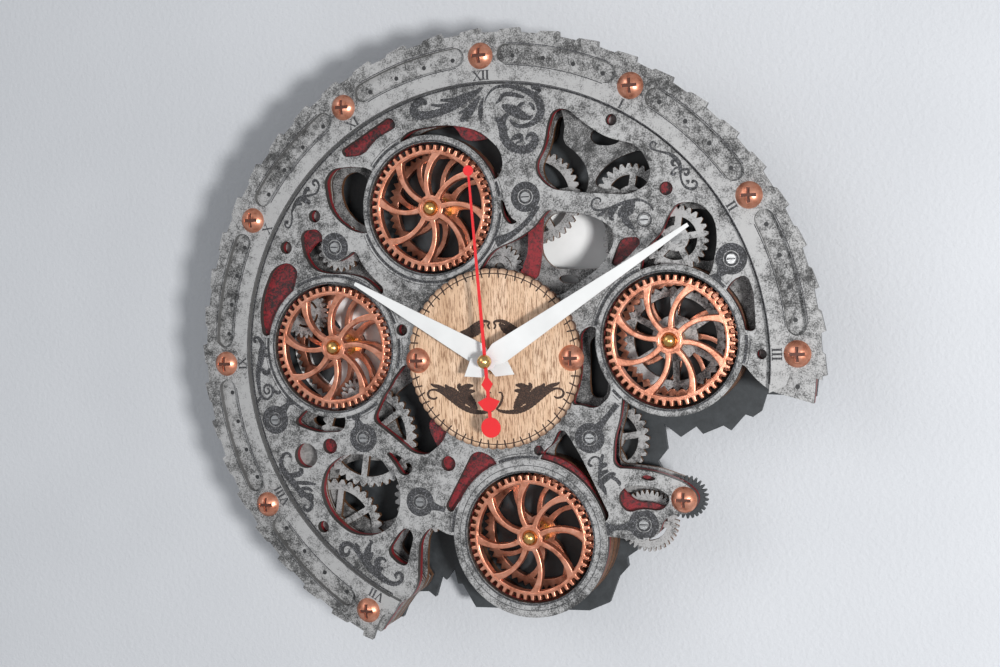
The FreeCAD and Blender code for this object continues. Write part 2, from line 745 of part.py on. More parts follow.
def arc_slot(middle_angle, depth):
    """One long slot of the chapter ring, with round ends."""
    first = middle_angle - slot_half_angle
    last = middle_angle + slot_half_angle
    end_radius = (slot_outer_radius - slot_inner_radius) / 2
    middle_radius = slot_inner_radius + end_radius
    end_bulge = math.degrees(end_radius / middle_radius)
    edges = [
        Part.Arc(at(polar(slot_inner_radius, first), depth),
                 at(polar(slot_inner_radius, middle_angle), depth),
                 at(polar(slot_inner_radius, last), depth)).toShape(),
        Part.Arc(at(polar(slot_inner_radius, last), depth),
                 at(polar(middle_radius, last + end_bulge), depth),
                 at(polar(slot_outer_radius, last), depth)).toShape(),
        Part.Arc(at(polar(slot_outer_radius, last), depth),
                 at(polar(slot_outer_radius, middle_angle), depth),
                 at(polar(slot_outer_radius, first), depth)).toShape(),
        Part.Arc(at(polar(slot_outer_radius, first), depth),
                 at(polar(middle_radius, first - end_bulge), depth),
                 at(polar(slot_inner_radius, first), depth)).toShape(),
    ]
    return Part.Face(Part.Wire(edges))


def chapter_ring():
    """Toothed hour ring: each tooth rises gently and drops sharply, clockwise."""
    pitch = 360 / ring_teeth
    start_radius = ring_root_radius + ring_tooth_rise
    radii = (ring_root_radius, ring_root_radius, start_radius, ring_tip_radius)
    points = []
    for index in range(ring_teeth):
        for radius, share in zip(radii, ring_tooth_shares):
            points.append(polar(radius, (index + share) * pitch))
    face = straight_face(points, dial_face)
    tools = [disc_face_at((0, 0), ring_inner_radius, dial_face)]
    tools.append(dial_outline(ring_bite_shares, dial_face, outline_round / 2))
    for quarter in (-9, -7, -5, -3, -1, 1, 3, 5):
        tools.append(arc_slot(15 * quarter, dial_face))
    hole_radius = screw_shank_radius + wall_gap
    tools += [disc_face_at(point, hole_radius, dial_face) for point in hour_points()]
    return solid_of(slab(face.cut(tools), ring_thickness))


def round_holes(table, depth):
    return [disc_face_at(place(hole[:2]), dial_share(hole[2]), depth) for hole in table]


def wheel_wells(depth):
    """Round bores of the dial plates, one per wheel."""
    return [disc_face_at(wheel_centre(name), bezel_inner_radius, depth)
            for name in wheel_place_shares]


def plate_face(depth, window_tables, wheel_radius_gap):
    """A plate of the dial: a bitten disc with windows and four wheel bores."""
    face = disc_face_at((0, 0), plate_radius, depth)
    tools = [dial_outline(bite_shares, depth, outline_round)]
    for table in window_tables:
        tools += [dial_outline(shares, depth) for shares in table.values()]
    face = face.cut(tools + wheel_wells(depth))
    rings = []
    for name in wheel_place_shares:
        centre = wheel_centre(name)
        ring = disc_face_at(centre, bezel_outer_radius(name) - wheel_radius_gap, depth)
        rings.append(ring.cut(disc_face_at(centre, bezel_inner_radius, depth)))
    face = face.fuse(rings)
    fixings = [disc_face_at((0, 0), stem_radius + wall_gap, depth)]
    hole_radius = screw_shank_radius + wall_gap
    fixings += [disc_face_at(point, hole_radius, depth) for point in screw_points()]
    lug_hole = lug_shank_radius + wall_gap
    fixings += [disc_face_at(point, lug_hole, depth) for point in lug_points()]
    return face.cut(fixings).removeSplitter()


def front_plate():
    face = plate_face(front_plate_back, (open_window_shares, red_window_shares), 0)
    lugs = [disc_face_at(place(shares), lug_radius, front_plate_back)
            for name, shares in lug_shares.items() if name != "plain"]
    holes = round_holes(open_hole_shares + red_hole_shares, front_plate_back)
    lug_hole = lug_shank_radius + wall_gap
    holes += [disc_face_at(point, lug_hole, front_plate_back) for point in lug_points()]
    face = face.fuse(lugs).cut(wheel_wells(front_plate_back) + holes).removeSplitter()
    body = slab(face, front_plate_thickness)
    for name in wheel_place_shares:
        centre = wheel_centre(name)
        outer = bezel_outer_radius(name) - bezel_shoulder
        inner = bezel_inner_radius + bezel_shoulder
        body = body.fuse(tube(centre, outer, inner, dial_face, dial_face + bezel_rise))
    return solid_of(body)


def red_plate():
    """Plate that closes some windows and crosses others with a band."""
    face = plate_face(red_back, (open_window_shares,), wall_gap)
    bands = [dial_outline(shares, red_back) for shares in red_band_shares.values()]
    face = face.fuse(bands).cut(wheel_wells(red_back) + round_holes(open_hole_shares, red_back))
    face = face.removeSplitter()
    return solid_of(slab(face, red_plate_thickness))


def frame(back, front):
    """One thick layer of the rim between the plates."""
    face = disc_face_at((0, 0), frame_radius, back)
    tools = [
        dial_outline(bite_shares, back, outline_round),
        dial_outline(frame_inner_shares, back, outline_round),
    ]
    hole_radius = screw_shank_radius + wall_gap
    tools += [disc_face_at(point, hole_radius, back) for point in hour_points()]
    pieces = face.cut(tools).Faces
    largest = max(pieces, key=lambda piece: piece.Area)
    return solid_of(slab(largest, front - back))


def upper_frame():
    return frame(layer_front, red_back)


def lower_frame():
    return frame(back_plate_front, layer_back)


def wheel_walls():
    """Thick rings under the bezels, which line the wells of the wheels."""
    spoked_level = gear_level("gear_spoked") - end_play
    levels = [
        ("top_left", layer_front + gear_thickness + end_play, red_back),
        ("right", layer_front, spoked_level),
        ("right", back_plate_front, layer_back),
        ("bottom", layer_front, red_back),
        ("bottom", back_plate_front, layer_back),
    ]
    inner = layer_hole_radius + wall_gap
    return [tube(wheel_centre(name), bezel_outer_radius(name) - wall_gap, inner, back, front)
            for name, back, front in levels]


def toothed_layer():
    """Layer of the stack with toothed bores around three of the wheels."""
    face = disc_face_at((0, 0), frame_radius, layer_back)
    tools = [dial_outline(bite_shares, layer_back, outline_round)]
    tools += [dial_outline(shares, layer_back) for shares in layer_window_shares.values()]
    tools.append(disc_face_at((0, 0), case_width * math.sqrt(0.5) + overrun, layer_back))
    rims = []
    for name in ("top_left", "right", "bottom"):
        centre = wheel_centre(name)
        rims.append(disc_face_at(centre, bezel_outer_radius(name), layer_back))
        tools.append(gear_face(centre, layer_hole_radius, layer_hole_radius - layer_tooth_height,
                               layer_teeth, layer_back, 0, 1))
    tools.append(disc_face_at(wheel_centre("left"), layer_hole_radius, layer_back))
    tools.append(disc_face_at(place(lug_shares["upper"]), post_radius + wall_gap, layer_back))
    hole_radius = screw_shank_radius + wall_gap
    tools += [disc_face_at(point, hole_radius, layer_back) for point in hour_points()]
    face = face.cut(tools[:1]).fuse(rims).cut(tools[1:])
    largest = max(face.Faces, key=lambda piece: piece.Area)
    return solid_of(slab(largest, toothed_layer_thickness))


def back_plate():
    """Charcoal plate with the jagged bite, the bush holes and the hatch."""
    face = disc_face_at((0, 0), frame_radius, foot_height)
    points = [place(pair) for pair in jagged_shares]
    half_width = access_width / 2
    half_height = access_height / 2
    hatch = [(-half_width, -half_height), (-half_width, half_height),
             (half_width, half_height), (half_width, -half_height)]
    tools = [straight_face(points, foot_height), straight_face(hatch, foot_height)]
    for name in wheel_place_shares:
        tools.append(disc_face_at(wheel_centre(name), bush_radius + press_gap, foot_height))
    tools.append(disc_face_at((0, head_room_z), head_room_radius, foot_height))
    return solid_of(slab(face.cut(tools), back_plate_thickness))


def wall_feet():
    """Six turned feet that hold the back plate off the wall."""
    points = [polar(foot_circle_radius, angle) for angle in foot_angles]
    points.append((low_foot_x, low_foot_z))
    return [cylinder(point, foot_radius, 0, foot_height) for point in points]


def hanger_plate():
    """Keyhole plate, flush under the back plate, over a hole for the screw's head."""
    back = foot_height - hanger_thickness
    body = Part.makeBox(hanger_width, hanger_thickness, hanger_height,
                        Vector(-hanger_width / 2, -foot_height, hanger_z - hanger_height / 2))
    hole = cylinder((0, hanger_z), hanger_hole_radius, back - overrun, foot_height + overrun)
    slot = Part.makeBox(2 * hanger_slot_radius, hanger_thickness + 2 * overrun,
                        hanger_slot_length,
                        Vector(-hanger_slot_radius, -foot_height - overrun, hanger_z))
    slot_end = cylinder((0, hanger_z + hanger_slot_length), hanger_slot_radius,
                        back - overrun, foot_height + overrun)
    return solid_of(body.cut([hole, slot, slot_end]))


def dial_disc():
    """Wooden centre disc with a scalloped edge, one bump per minute."""
    half_pitch = 180 / disc_scallops
    edges = []
    for index in range(disc_scallops):
        middle = 2 * half_pitch * (index + 0.5)
        valley = disc_radius - disc_scallop_height
        edges.append(Part.Arc(at(polar(valley, middle - half_pitch), dial_face),
                              at(polar(disc_radius, middle), dial_face),
                              at(polar(valley, middle + half_pitch), dial_face)).toShape())
    hole_radius = screw_shank_radius + wall_gap
    tools = [
        disc_face_at((0, 0), stem_radius + wall_gap, dial_face),
        disc_face_at((-disc_screw_x, 0), hole_radius, dial_face),
        disc_face_at((disc_screw_x, 0), hole_radius, dial_face),
    ]
    face = Part.Face(Part.Wire(edges)).cut(tools)
    return solid_of(slab(face, disc_thickness))


def front_wheel(name):
    """Cast wheel with square teeth and eight sickle spokes."""
    centre = wheel_centre(name)
    face = gear_face(centre, wheel_tip_radius, wheel_root_radius, wheel_teeth, wheel_back)
    pitch = 360 / wheel_spokes
    windows = [spoke_window(centre, wheel_turn_shares[name] + index * pitch, pitch,
                            wheel_hub_radius + running_gap, wheel_rim_inner_radius, wheel_back)
               for index in range(wheel_spokes)]
    windows.append(disc_face_at(centre, cap_radius + press_gap, wheel_back))
    return solid_of(slab(face.cut(windows), wheel_thickness))


def rear_wheel(name):
    """Second wheel on the same axle, with a boss that runs on the bush."""
    centre = wheel_centre(name)
    back = rear_wheel_back + end_play
    face = gear_face(centre, rear_wheel_tip_radius, rear_wheel_root_radius, wheel_teeth,
                     back, 0, 1, wheel_turn_shares[name])
    pitch = 360 / wheel_spokes
    windows = [spoke_window(centre, index * pitch, pitch, rear_hub_radius,
                            rear_rim_inner_radius, back)
               for index in range(wheel_spokes)]
    body = slab(face.cut(windows), rear_wheel_thickness)
    boss = cylinder(centre, rear_boss_radius, rear_wheel_back, back)
    bore = cylinder(centre, journal_radius + press_gap, rear_wheel_back - overrun,
                    back + rear_wheel_thickness + overrun)
    return solid_of(body.fuse(boss).cut(bore))


def hexagon(centre, across_flats, back, front):
    corner = across_flats / math.sqrt(3)
    face = straight_face([polar(corner, 60 * index, centre) for index in range(6)], back)
    return slab(face, front - back)


def dome(centre, radius, height, back):
    """A turned cap with a flat back: part of a ball, as wide and high as asked."""
    ball_size = (radius ** 2 + height ** 2) / (2 * height)
    half_turn = math.asin(radius / ball_size) / 2
    start = at(centre, back)
    side = at((centre[0] + radius, centre[1]), back)
    top = at(centre, back + height)
    bulge = at((centre[0] + ball_size * math.sin(half_turn), centre[1]),
               back + height - ball_size + ball_size * math.cos(half_turn))
    edges = [
        Part.LineSegment(start, side).toShape(),
        Part.Arc(side, bulge, top).toShape(),
        Part.LineSegment(top, start).toShape(),
    ]
    return Part.Face(Part.Wire(edges)).revolve(start, Vector(0, -1, 0), 360)


def axle_shaft(centre):
    """Turned brass shaft: journal, hexagon, spacer and domed end."""
    shoulder = rear_wheel_back + end_play + rear_wheel_thickness
    shaft = cylinder(centre, journal_radius, axle_end_depth, shoulder)
    shaft = shaft.fuse(hexagon(centre, hex_across_flats, shoulder, shoulder + hex_height))
    shaft = shaft.fuse(cylinder(centre, spacer_radius, shoulder, wheel_back))
    shaft = shaft.fuse(cylinder(centre, cap_radius, wheel_back, dial_face))
    return solid_of(shaft.fuse(dome(centre, cap_radius, cap_height, dial_face)))


def grooved_pulley(centre, flange, groove, hub, hub_front, bore):
    """A pulley with two flanges and a flat groove for the belt."""
    first = pulley_back_depth + pulley_flange_thickness
    second = first + belt_width + 2 * wall_gap
    body = cylinder(centre, flange, pulley_back_depth, first)
    body = body.fuse(cylinder(centre, groove, first, second))
    body = body.fuse(cylinder(centre, flange, second, second + pulley_flange_thickness))
    body = body.fuse(cylinder(centre, hub, second, hub_front))
    if bore:
        body = body.cut(cylinder(centre, bore, -overrun, hub_front + overrun))
    return solid_of(body)


def axle(name):
    """One wheel axle and the pulley pressed on its wall end."""
    centre = wheel_centre(name)
    pulley = grooved_pulley(centre, pulley_flange_radius, pulley_groove_radius,
                            pulley_hub_radius, bush_end_depth - end_play,
                            journal_radius + press_gap)
    return [axle_shaft(centre), pulley]


def axle_bushes():
    """Flanged bearing bushes in the back plate, one per axle."""
    bushes = []
    for name in wheel_place_shares:
        centre = wheel_centre(name)
        body = cylinder(centre, bush_radius, bush_end_depth, back_plate_front)
        flange = cylinder(centre, bush_flange_radius, back_plate_front,
                          back_plate_front + bush_flange_thickness)
        bore = cylinder(centre, journal_radius + running_gap, bush_end_depth - overrun,
                        back_plate_front + bush_flange_thickness + overrun)
        bushes.append(solid_of(body.fuse(flange).cut(bore)))
    return bushes


def middle_gear():
    """Silver gear on the right axle, between its two copper wheels."""
    centre = wheel_centre("right")
    back = rear_wheel_back + end_play + rear_wheel_thickness + hex_height
    face = gear_face(centre, middle_gear_radius, middle_gear_radius - gear_tooth_height,
                     middle_gear_teeth, back, 0, 1)
    rim = middle_gear_radius - gear_tooth_height - gear_rim_width
    windows = straight_spoke_windows(centre, spacer_radius + gear_hub_radius, rim,
                                     middle_gear_spokes, gear_rim_width, back)
    windows.append(disc_face_at(centre, spacer_radius + press_gap, back))
    return solid_of(slab(face.cut(windows), middle_gear_thickness))


def belt_circles():
    """Centres and running radii of the belt, clockwise from the top left."""
    circles = [(wheel_centre(name), pulley_groove_radius)
               for name in ("top_left", "right", "bottom")]
    circles.append(((motor_x, motor_z), motor_groove_radius))
    circles.append((wheel_centre("left"), pulley_groove_radius))
    return circles


def belt_face(growth, depth):
    """The loop that lies outside all the pulleys, grown by a clearance."""
    circles = belt_circles()
    tangents = []
    for index, (centre, groove) in enumerate(circles):
        following, next_groove = circles[(index + 1) % len(circles)]
        across = following[0] - centre[0]
        up = following[1] - centre[1]
        distance = math.hypot(across, up)
        heading = math.atan2(across, up)
        lean = math.asin((next_groove - groove) / distance)
        normal = math.degrees(heading - math.pi / 2 - lean)
        tangents.append((polar(groove + growth, normal, centre),
                         polar(next_groove + growth, normal, following), normal))
    edges = []
    for index, (centre, groove) in enumerate(circles):
        arriving = tangents[index - 1]
        leaving = tangents[index]
        sweep = (leaving[2] - arriving[2]) % 360
        middle = polar(groove + growth, arriving[2] + sweep / 2, centre)
        edges.append(Part.Arc(at(arriving[1], depth), at(middle, depth),
                              at(leaving[0], depth)).toShape())
        edges.append(Part.LineSegment(at(leaving[0], depth), at(leaving[1], depth)).toShape())
    return Part.Face(Part.Wire(edges))


def drive_belt():
    back = pulley_back_depth + pulley_flange_thickness + wall_gap
    outside = belt_face(wall_gap + belt_thickness, back)
    return solid_of(slab(outside.cut(belt_face(wall_gap, back)), belt_width))


def gear_motor():
    """Flat geared motor on the back of the back plate."""
    centre = (motor_x, motor_z)
    back = foot_height - motor_height
    body = cylinder(centre, motor_radius, back, foot_height)
    bore = cylinder(centre, motor_shaft_radius + running_gap, back - overrun,
                    back + motor_bore_depth)
    return solid_of(body.cut(bore))


def motor_pulley():
    centre = (motor_x, motor_z)
    motor_back = foot_height - motor_height
    pulley = grooved_pulley(centre, motor_flange_radius, motor_groove_radius,
                            motor_flange_radius, motor_back - end_play * 2, 0)
    shaft = cylinder(centre, motor_shaft_radius, pulley_back_depth,
                     motor_back + motor_bore_depth - end_play)
    return solid_of(pulley.fuse(shaft))


def battery_box():
    """Open tray for two cells side by side, on the back of the back plate."""
    inner_length = cell_length + cell_cap_length + box_end_room
    inner_height = 4 * cell_radius + 2 * end_play
    length = inner_length + 2 * box_wall
    height = inner_height + 2 * box_wall
    outer = Part.makeBox(length, box_depth, height,
                         Vector(box_x - length / 2, -foot_height, box_z - height / 2))
    inner = Part.makeBox(inner_length, box_depth + overrun, inner_height,
                         Vector(box_x - inner_length / 2, -foot_height + box_wall,
                                box_z - inner_height / 2))
    return solid_of(outer.cut(inner))


def cell(centre_x, centre_z, centre_depth, direction):
    """One round cell with its end cap."""
    base = Vector(centre_x - direction * cell_length / 2, -centre_depth, centre_z)
    along = Vector(direction, 0, 0)
    body = Part.makeCylinder(cell_radius, cell_length, base, along)
    cap = Part.makeCylinder(cell_cap_radius, cell_length + cell_cap_length, base, along)
    return solid_of(body.fuse(cap))


def battery_cells():
    """Two cells lying in the tray, one each way."""
    depth = foot_height - box_wall - cell_radius
    return [
        cell(box_x, box_z + cell_radius + end_play / 2, depth, 1),
        cell(box_x, box_z - cell_radius - end_play / 2, depth, -1),
    ]


def gear_level(name):
    """Depth of the back face of a fixed gear."""
    if name in ("gear_upper", "panel"):
        return layer_back - gear_thickness
    if name == "gear_below_right":
        return rear_wheel_back + gear_thickness
    if name in ("gear_upper_right", "gear_arm", "gear_lower_middle"):
        return red_back - 2 * gear_thickness - end_play
    if name in ("gear_lower_left", "above_disc", "left_high", "left_low"):
        return layer_front
    if name == "gear_arm_end":
        return red_back - gear_thickness
    return red_back - gear_thickness - end_play


def hanging_post(name, front):
    """A post that hangs from a plate and carries its gear on a spigot."""
    centre = place(gear_shares[name][0])
    seat = gear_level(name)
    flange = cylinder(centre, post_radius, seat - post_flange_thickness, seat)
    spigot = cylinder(centre, gear_bore_radius - press_gap, seat, seat + gear_thickness)
    spacer = cylinder(centre, post_radius - wall_gap, seat + gear_thickness, front)
    return flange.fuse([spigot, spacer])


def standing_post(name):
    """A post that stands on the back plate, with a spigot for its gear."""
    centre = place(gear_shares[name][0])
    seat = gear_level(name)
    spigot = cylinder(centre, gear_bore_radius - press_gap, seat, seat + gear_thickness)
    return cylinder(centre, post_radius, back_plate_front, seat).fuse(spigot)


def gear_posts():
    """Turned posts that carry the fixed gears, some of them held by the lug screws."""
    posts = [hanging_post("gear_upper_right", red_back - gear_thickness)]
    posts += [standing_post(name) for name in ("gear_right", "gear_below_right")]
    for lug in post_lugs:
        screw_bore = cylinder(place(lug_shares[lug]), lug_shank_radius + press_gap,
                              red_back - post_screw_length, red_back + overrun)
        posts.append(hanging_post("gear_" + lug, red_back).cut(screw_bore))
    return [solid_of(post) for post in posts]


def fixed_gear(name):
    """A fixed ornamental gear, with spokes where the real one has them."""
    share, tip_share, teeth, spokes = gear_shares[name]
    centre = place(share)
    tip = dial_share(tip_share)
    back = gear_level(name)
    root = tip - gear_tooth_height
    face = gear_face(centre, tip, root, teeth, back, gear_top_share, 1)
    bore = screw_shank_radius + press_gap if name == "gear_arm_end" else gear_bore_radius
    tools = [disc_face_at(centre, bore, back)]
    rim = root - gear_rim_width
    if spokes:
        tools += straight_spoke_windows(centre, gear_hub_radius, rim, spokes,
                                        gear_rim_width, back, gear_spoke_turn)
    face = face.cut(tools)
    if name == "gear_lower_left":
        face = face.common(dial_outline(frame_inner_shares, back))
    return solid_of(slab(face, gear_thickness))


def window_gears():
    """Small gears without a post, which lie on the toothed layer."""
    return [fixed_gear(name) for name in window_gear_names]


def bridge_plate():
    """Mottled plate fixed to the back of the red plate."""
    back = red_back - gear_thickness
    tools = [dial_outline(shares, back) for shares in bridge_opening_shares.values()]
    lug_hole = lug_shank_radius + wall_gap
    tools += [disc_face_at(point, lug_hole, back) for point in lug_points()]
    face = dial_outline(bridge_shares, back).cut(tools)
    face = face.common(dial_outline(frame_inner_shares, back))
    return solid_of(slab(face, gear_thickness))


def white_ring():
    """Glossy white wheel on the back plate behind the left wheel, with one wide window."""
    centre = wheel_centre("left")
    face = disc_face_at(centre, white_ring_radius, back_plate_front)
    bore = disc_face_at(centre, white_bore_radius, back_plate_front)
    rim = white_ring_radius - white_ring_rim_width
    first, last = white_window_angles
    middle = (first + last) / 2
    corners = [polar(radius, angle, centre) for radius, angle in (
        (white_hub_radius, first), (rim, first), (rim, middle), (rim, last),
        (white_hub_radius, last), (white_hub_radius, middle))]
    points = [at(point, back_plate_front) for point in corners]
    window = Part.Face(Part.Wire([
        Part.LineSegment(points[0], points[1]).toShape(),
        Part.Arc(points[1], points[2], points[3]).toShape(),
        Part.LineSegment(points[3], points[4]).toShape(),
        Part.Arc(points[4], points[5], points[0]).toShape(),
    ]))
    return solid_of(slab(face.cut([bore, window]), white_thickness))


def top_panel():
    """Glossy white panel behind the window above the disc, on the back plate."""
    face = dial_outline(top_panel_shares, back_plate_front)
    return solid_of(slab(face, white_thickness))


def cross_screw(point, seat, length):
    """Large round-headed screw with a cross recess."""
    shank = cylinder(point, screw_shank_radius, seat - length, seat)
    body = dome(point, screw_head_radius, screw_head_height, seat).fuse(shank)
    depth = seat + screw_head_height - cross_depth
    for wide, high in ((cross_length, cross_width), (cross_width, cross_length)):
        corner = Vector(point[0] - wide / 2, -depth - overrun, point[1] - high / 2)
        body = body.cut(Part.makeBox(wide, overrun, high, corner))
    return solid_of(body)


def copper_screws():
    ring_face = dial_face + ring_thickness
    screws = [cross_screw(point, ring_face, screw_length) for point in hour_points()]
    for side in (-1, 1):
        screws.append(cross_screw((side * disc_screw_x, 0), disc_face, short_screw_length))
    screws.append(cross_screw(place(arm_screw_share), dial_face, short_screw_length))
    return screws


def lug_screws():
    """Small slotted screws in the lugs."""
    screws = []
    for name, shares in lug_shares.items():
        point = place(shares)
        reach = post_screw_length if name in post_lugs else 0
        head = cylinder(point, lug_screw_radius, dial_face, dial_face + lug_screw_height)
        shank = cylinder(point, lug_shank_radius, red_back - reach, dial_face)
        slot = Part.makeBox(2 * lug_screw_radius + overrun, overrun, lug_slot_width,
                            Vector(point[0] - lug_screw_radius - overrun / 2,
                                   -dial_face - overrun - lug_screw_height / 2,
                                   point[1] - lug_slot_width / 2))
        screws.append(solid_of(head.fuse(shank).cut(slot)))
    return screws


def movement_case():
    """Front half of the movement's case, with the threaded stem."""
    half = case_width / 2
    wall_back = red_back - case_wall
    train_bottom = -half + cell_bay_height
    body = Part.makeBox(case_width, case_depth - cover_thickness, case_width,
                        Vector(-half, -red_back, -half))
    train = Part.makeBox(case_width - 2 * case_wall, case_depth,
                         half - train_bottom - case_wall,
                         Vector(-half + case_wall, -wall_back, train_bottom))
    bay = Part.makeBox(case_width - 2 * case_wall, case_depth, cell_bay_height - 2 * case_wall,
                       Vector(-half + case_wall, -wall_back, -half + case_wall))
    stem = cylinder((0, 0), stem_radius, wall_back, red_back + stem_length)
    bore = cylinder((0, 0), stem_bore_radius, wall_back - overrun,
                    red_back + stem_length + overrun)
    pin_hole = cylinder((motion_distance, 0), motion_pin_radius + running_gap,
                        wall_back - overrun, wall_back + case_wall / 2)
    knob_hole = cylinder((2 * motion_distance, 0), motion_pin_radius + running_gap,
                         wall_back - overrun, wall_back + case_wall / 2)
    body = body.cut([train, bay]).fuse(stem)
    return solid_of(body.cut([bore, pin_hole, knob_hole]))


def movement_cover():
    """Back cover over the wheels; the cell's bay stays open."""
    half = case_width / 2
    train_bottom = -half + cell_bay_height - case_wall
    body = Part.makeBox(case_width, cover_thickness, half - train_bottom,
                        Vector(-half, -case_back - cover_thickness, train_bottom))
    hole = cylinder((2 * motion_distance, 0), knob_shaft_radius + running_gap,
                    case_back - overrun, case_back + overrun)
    arbor_seat = cylinder((0, 0), seconds_arbor_radius + running_gap,
                          case_back + cover_thickness / 2, case_back + overrun)
    return solid_of(body.cut([hole, arbor_seat]))


def movement_cell():
    half = case_width / 2
    depth = red_back - case_wall - cell_radius - end_play
    return cell(-cell_cap_length / 2, -half + cell_bay_height / 2, depth, 1)


def step_motor():
    """Coil and stator of the movement's stepping motor, as one block."""
    back = red_back - case_wall - step_motor_depth
    coil = Part.makeBox(step_motor_width, step_motor_depth, step_motor_height,
                        Vector(-step_motor_width / 2, -back - step_motor_depth,
                               step_motor_z - step_motor_height / 2))
    return solid_of(coil)


def train_gear(centre, pitch_radius, teeth, back, start=0):
    """A small wheel of the movement, with pointed teeth."""
    tip = pitch_radius + train_tooth_height / 2 - running_gap
    root = pitch_radius - train_tooth_height / 2 - running_gap
    face = gear_face(centre, tip, root, teeth, back, 0.12, 0.62, start)
    return slab(face, train_wheel_thickness)


pin_reach_share = 0.4
arbor_seat_share = 0.6
motion_pin_front = red_back - case_wall + pin_reach_share * case_wall
motion_level = red_back - case_wall - 2 * train_wheel_thickness - 2 * end_play
hour_level = red_back - case_wall - train_wheel_thickness - end_play
cannon_pitch = motion_distance * cannon_teeth / (cannon_teeth + motion_teeth)
motion_pitch = motion_distance - cannon_pitch
motion_pinion_pitch = (motion_distance * motion_pinion_teeth
                       / (motion_pinion_teeth + hour_teeth))
hour_pitch = motion_distance - motion_pinion_pitch


def hour_wheel():
    """Hour wheel and the tube that carries the hour hand."""
    wheel = train_gear((0, 0), hour_pitch, hour_teeth, hour_level,
                       90 - 180 / hour_teeth)
    pipe = cylinder((0, 0), hour_tube_radius, hour_level, hour_hand_back + hand_thickness)
    bore = cylinder((0, 0), hour_tube_bore, hour_level - overrun,
                    hour_hand_back + hand_thickness + overrun)
    return solid_of(wheel.fuse(pipe).cut(bore))


def minute_wheel():
    """Cannon pinion and the tube that carries the minute hand."""
    pinion = train_gear((0, 0), cannon_pitch, cannon_teeth, motion_level,
                        90 - 180 / cannon_teeth)
    pipe = cylinder((0, 0), minute_tube_radius, motion_level,
                    minute_hand_back + hand_thickness)
    bore = cylinder((0, 0), minute_tube_bore, motion_level - overrun,
                    minute_hand_back + hand_thickness + overrun)
    return solid_of(pinion.fuse(pipe).cut(bore))


def motion_wheel():
    """Wheel and pinion that gear the hour hand down from the minute hand."""
    centre = (motion_distance, 0)
    wheel = train_gear(centre, motion_pitch, motion_teeth, motion_level, 90)
    pinion = train_gear(centre, motion_pinion_pitch, motion_pinion_teeth, hour_level, 270)
    pin = cylinder(centre, motion_pin_radius, motion_level, motion_pin_front)
    return solid_of(wheel.fuse([pinion, pin]))


def setting_knob():
    """Thumb wheel at the back, with the pinion that turns the motion wheel."""
    centre = (2 * motion_distance, 0)
    pinion = train_gear(centre, cannon_pitch, setting_teeth, motion_level,
                        90 - 180 / setting_teeth)
    shaft = cylinder(centre, knob_shaft_radius, case_back - end_play, motion_level)
    pin = cylinder(centre, motion_pin_radius, motion_level, motion_pin_front)
    knob = cylinder(centre, knob_radius, case_back - end_play - knob_thickness,
                    case_back - end_play)
    return solid_of(shaft.fuse([pinion, pin, knob]))


def seconds_wheel():
    """Seconds arbor with its wheel, running through the minute tube."""
    level = motion_level - train_wheel_thickness - 2 * end_play
    face = gear_face((0, 0), seconds_wheel_radius, seconds_wheel_radius - train_tooth_height,
                     seconds_teeth, level, 0, 1)
    wheel = slab(face, train_wheel_thickness)
    arbor = cylinder((0, 0), seconds_arbor_radius, case_back + arbor_seat_share * cover_thickness,
                     second_hand_back + hand_thickness)
    return solid_of(wheel.fuse(arbor))


def fixing_nut():
    """Brass nut that clamps the movement to the wooden disc."""
    body = hexagon((0, 0), nut_across_flats, disc_face, disc_face + nut_thickness)
    return solid_of(body.cut(cylinder((0, 0), stem_radius + press_gap,
                                      disc_face - overrun, disc_face + overrun)))


def turned(shape, angle):
    """A piece turned clockwise about the axis of the hands."""
    shape.rotate(Vector(0, 0, 0), Vector(0, 1, 0), angle)
    return shape


def tapered_hand(length, back, bore, angle):
    """A kite-shaped hand with a notched, pointed tail."""
    half = hand_half_width
    waist = half * hand_waist_share
    wing = -hand_tail * hand_wing_share
    right_side = [(hand_tip_half_width, length), (half, hand_shoulder), (waist, 0), (half, wing)]
    left_side = [(-x, z) for x, z in reversed(right_side)]
    points = right_side + [(0, -hand_tail)] + left_side
    face = straight_face(points, back).fuse(disc_face_at((0, 0), hand_boss_radius, back))
    face = face.removeSplitter().cut(disc_face_at((0, 0), bore + press_gap, back))
    return turned(solid_of(slab(face, hand_thickness)), angle)


def hour_hand():
    return tapered_hand(hour_hand_length, hour_hand_back, hour_tube_radius, hour_hand_turn)


def minute_hand():
    return tapered_hand(minute_hand_length, minute_hand_back, minute_tube_radius,
                        minute_hand_turn)


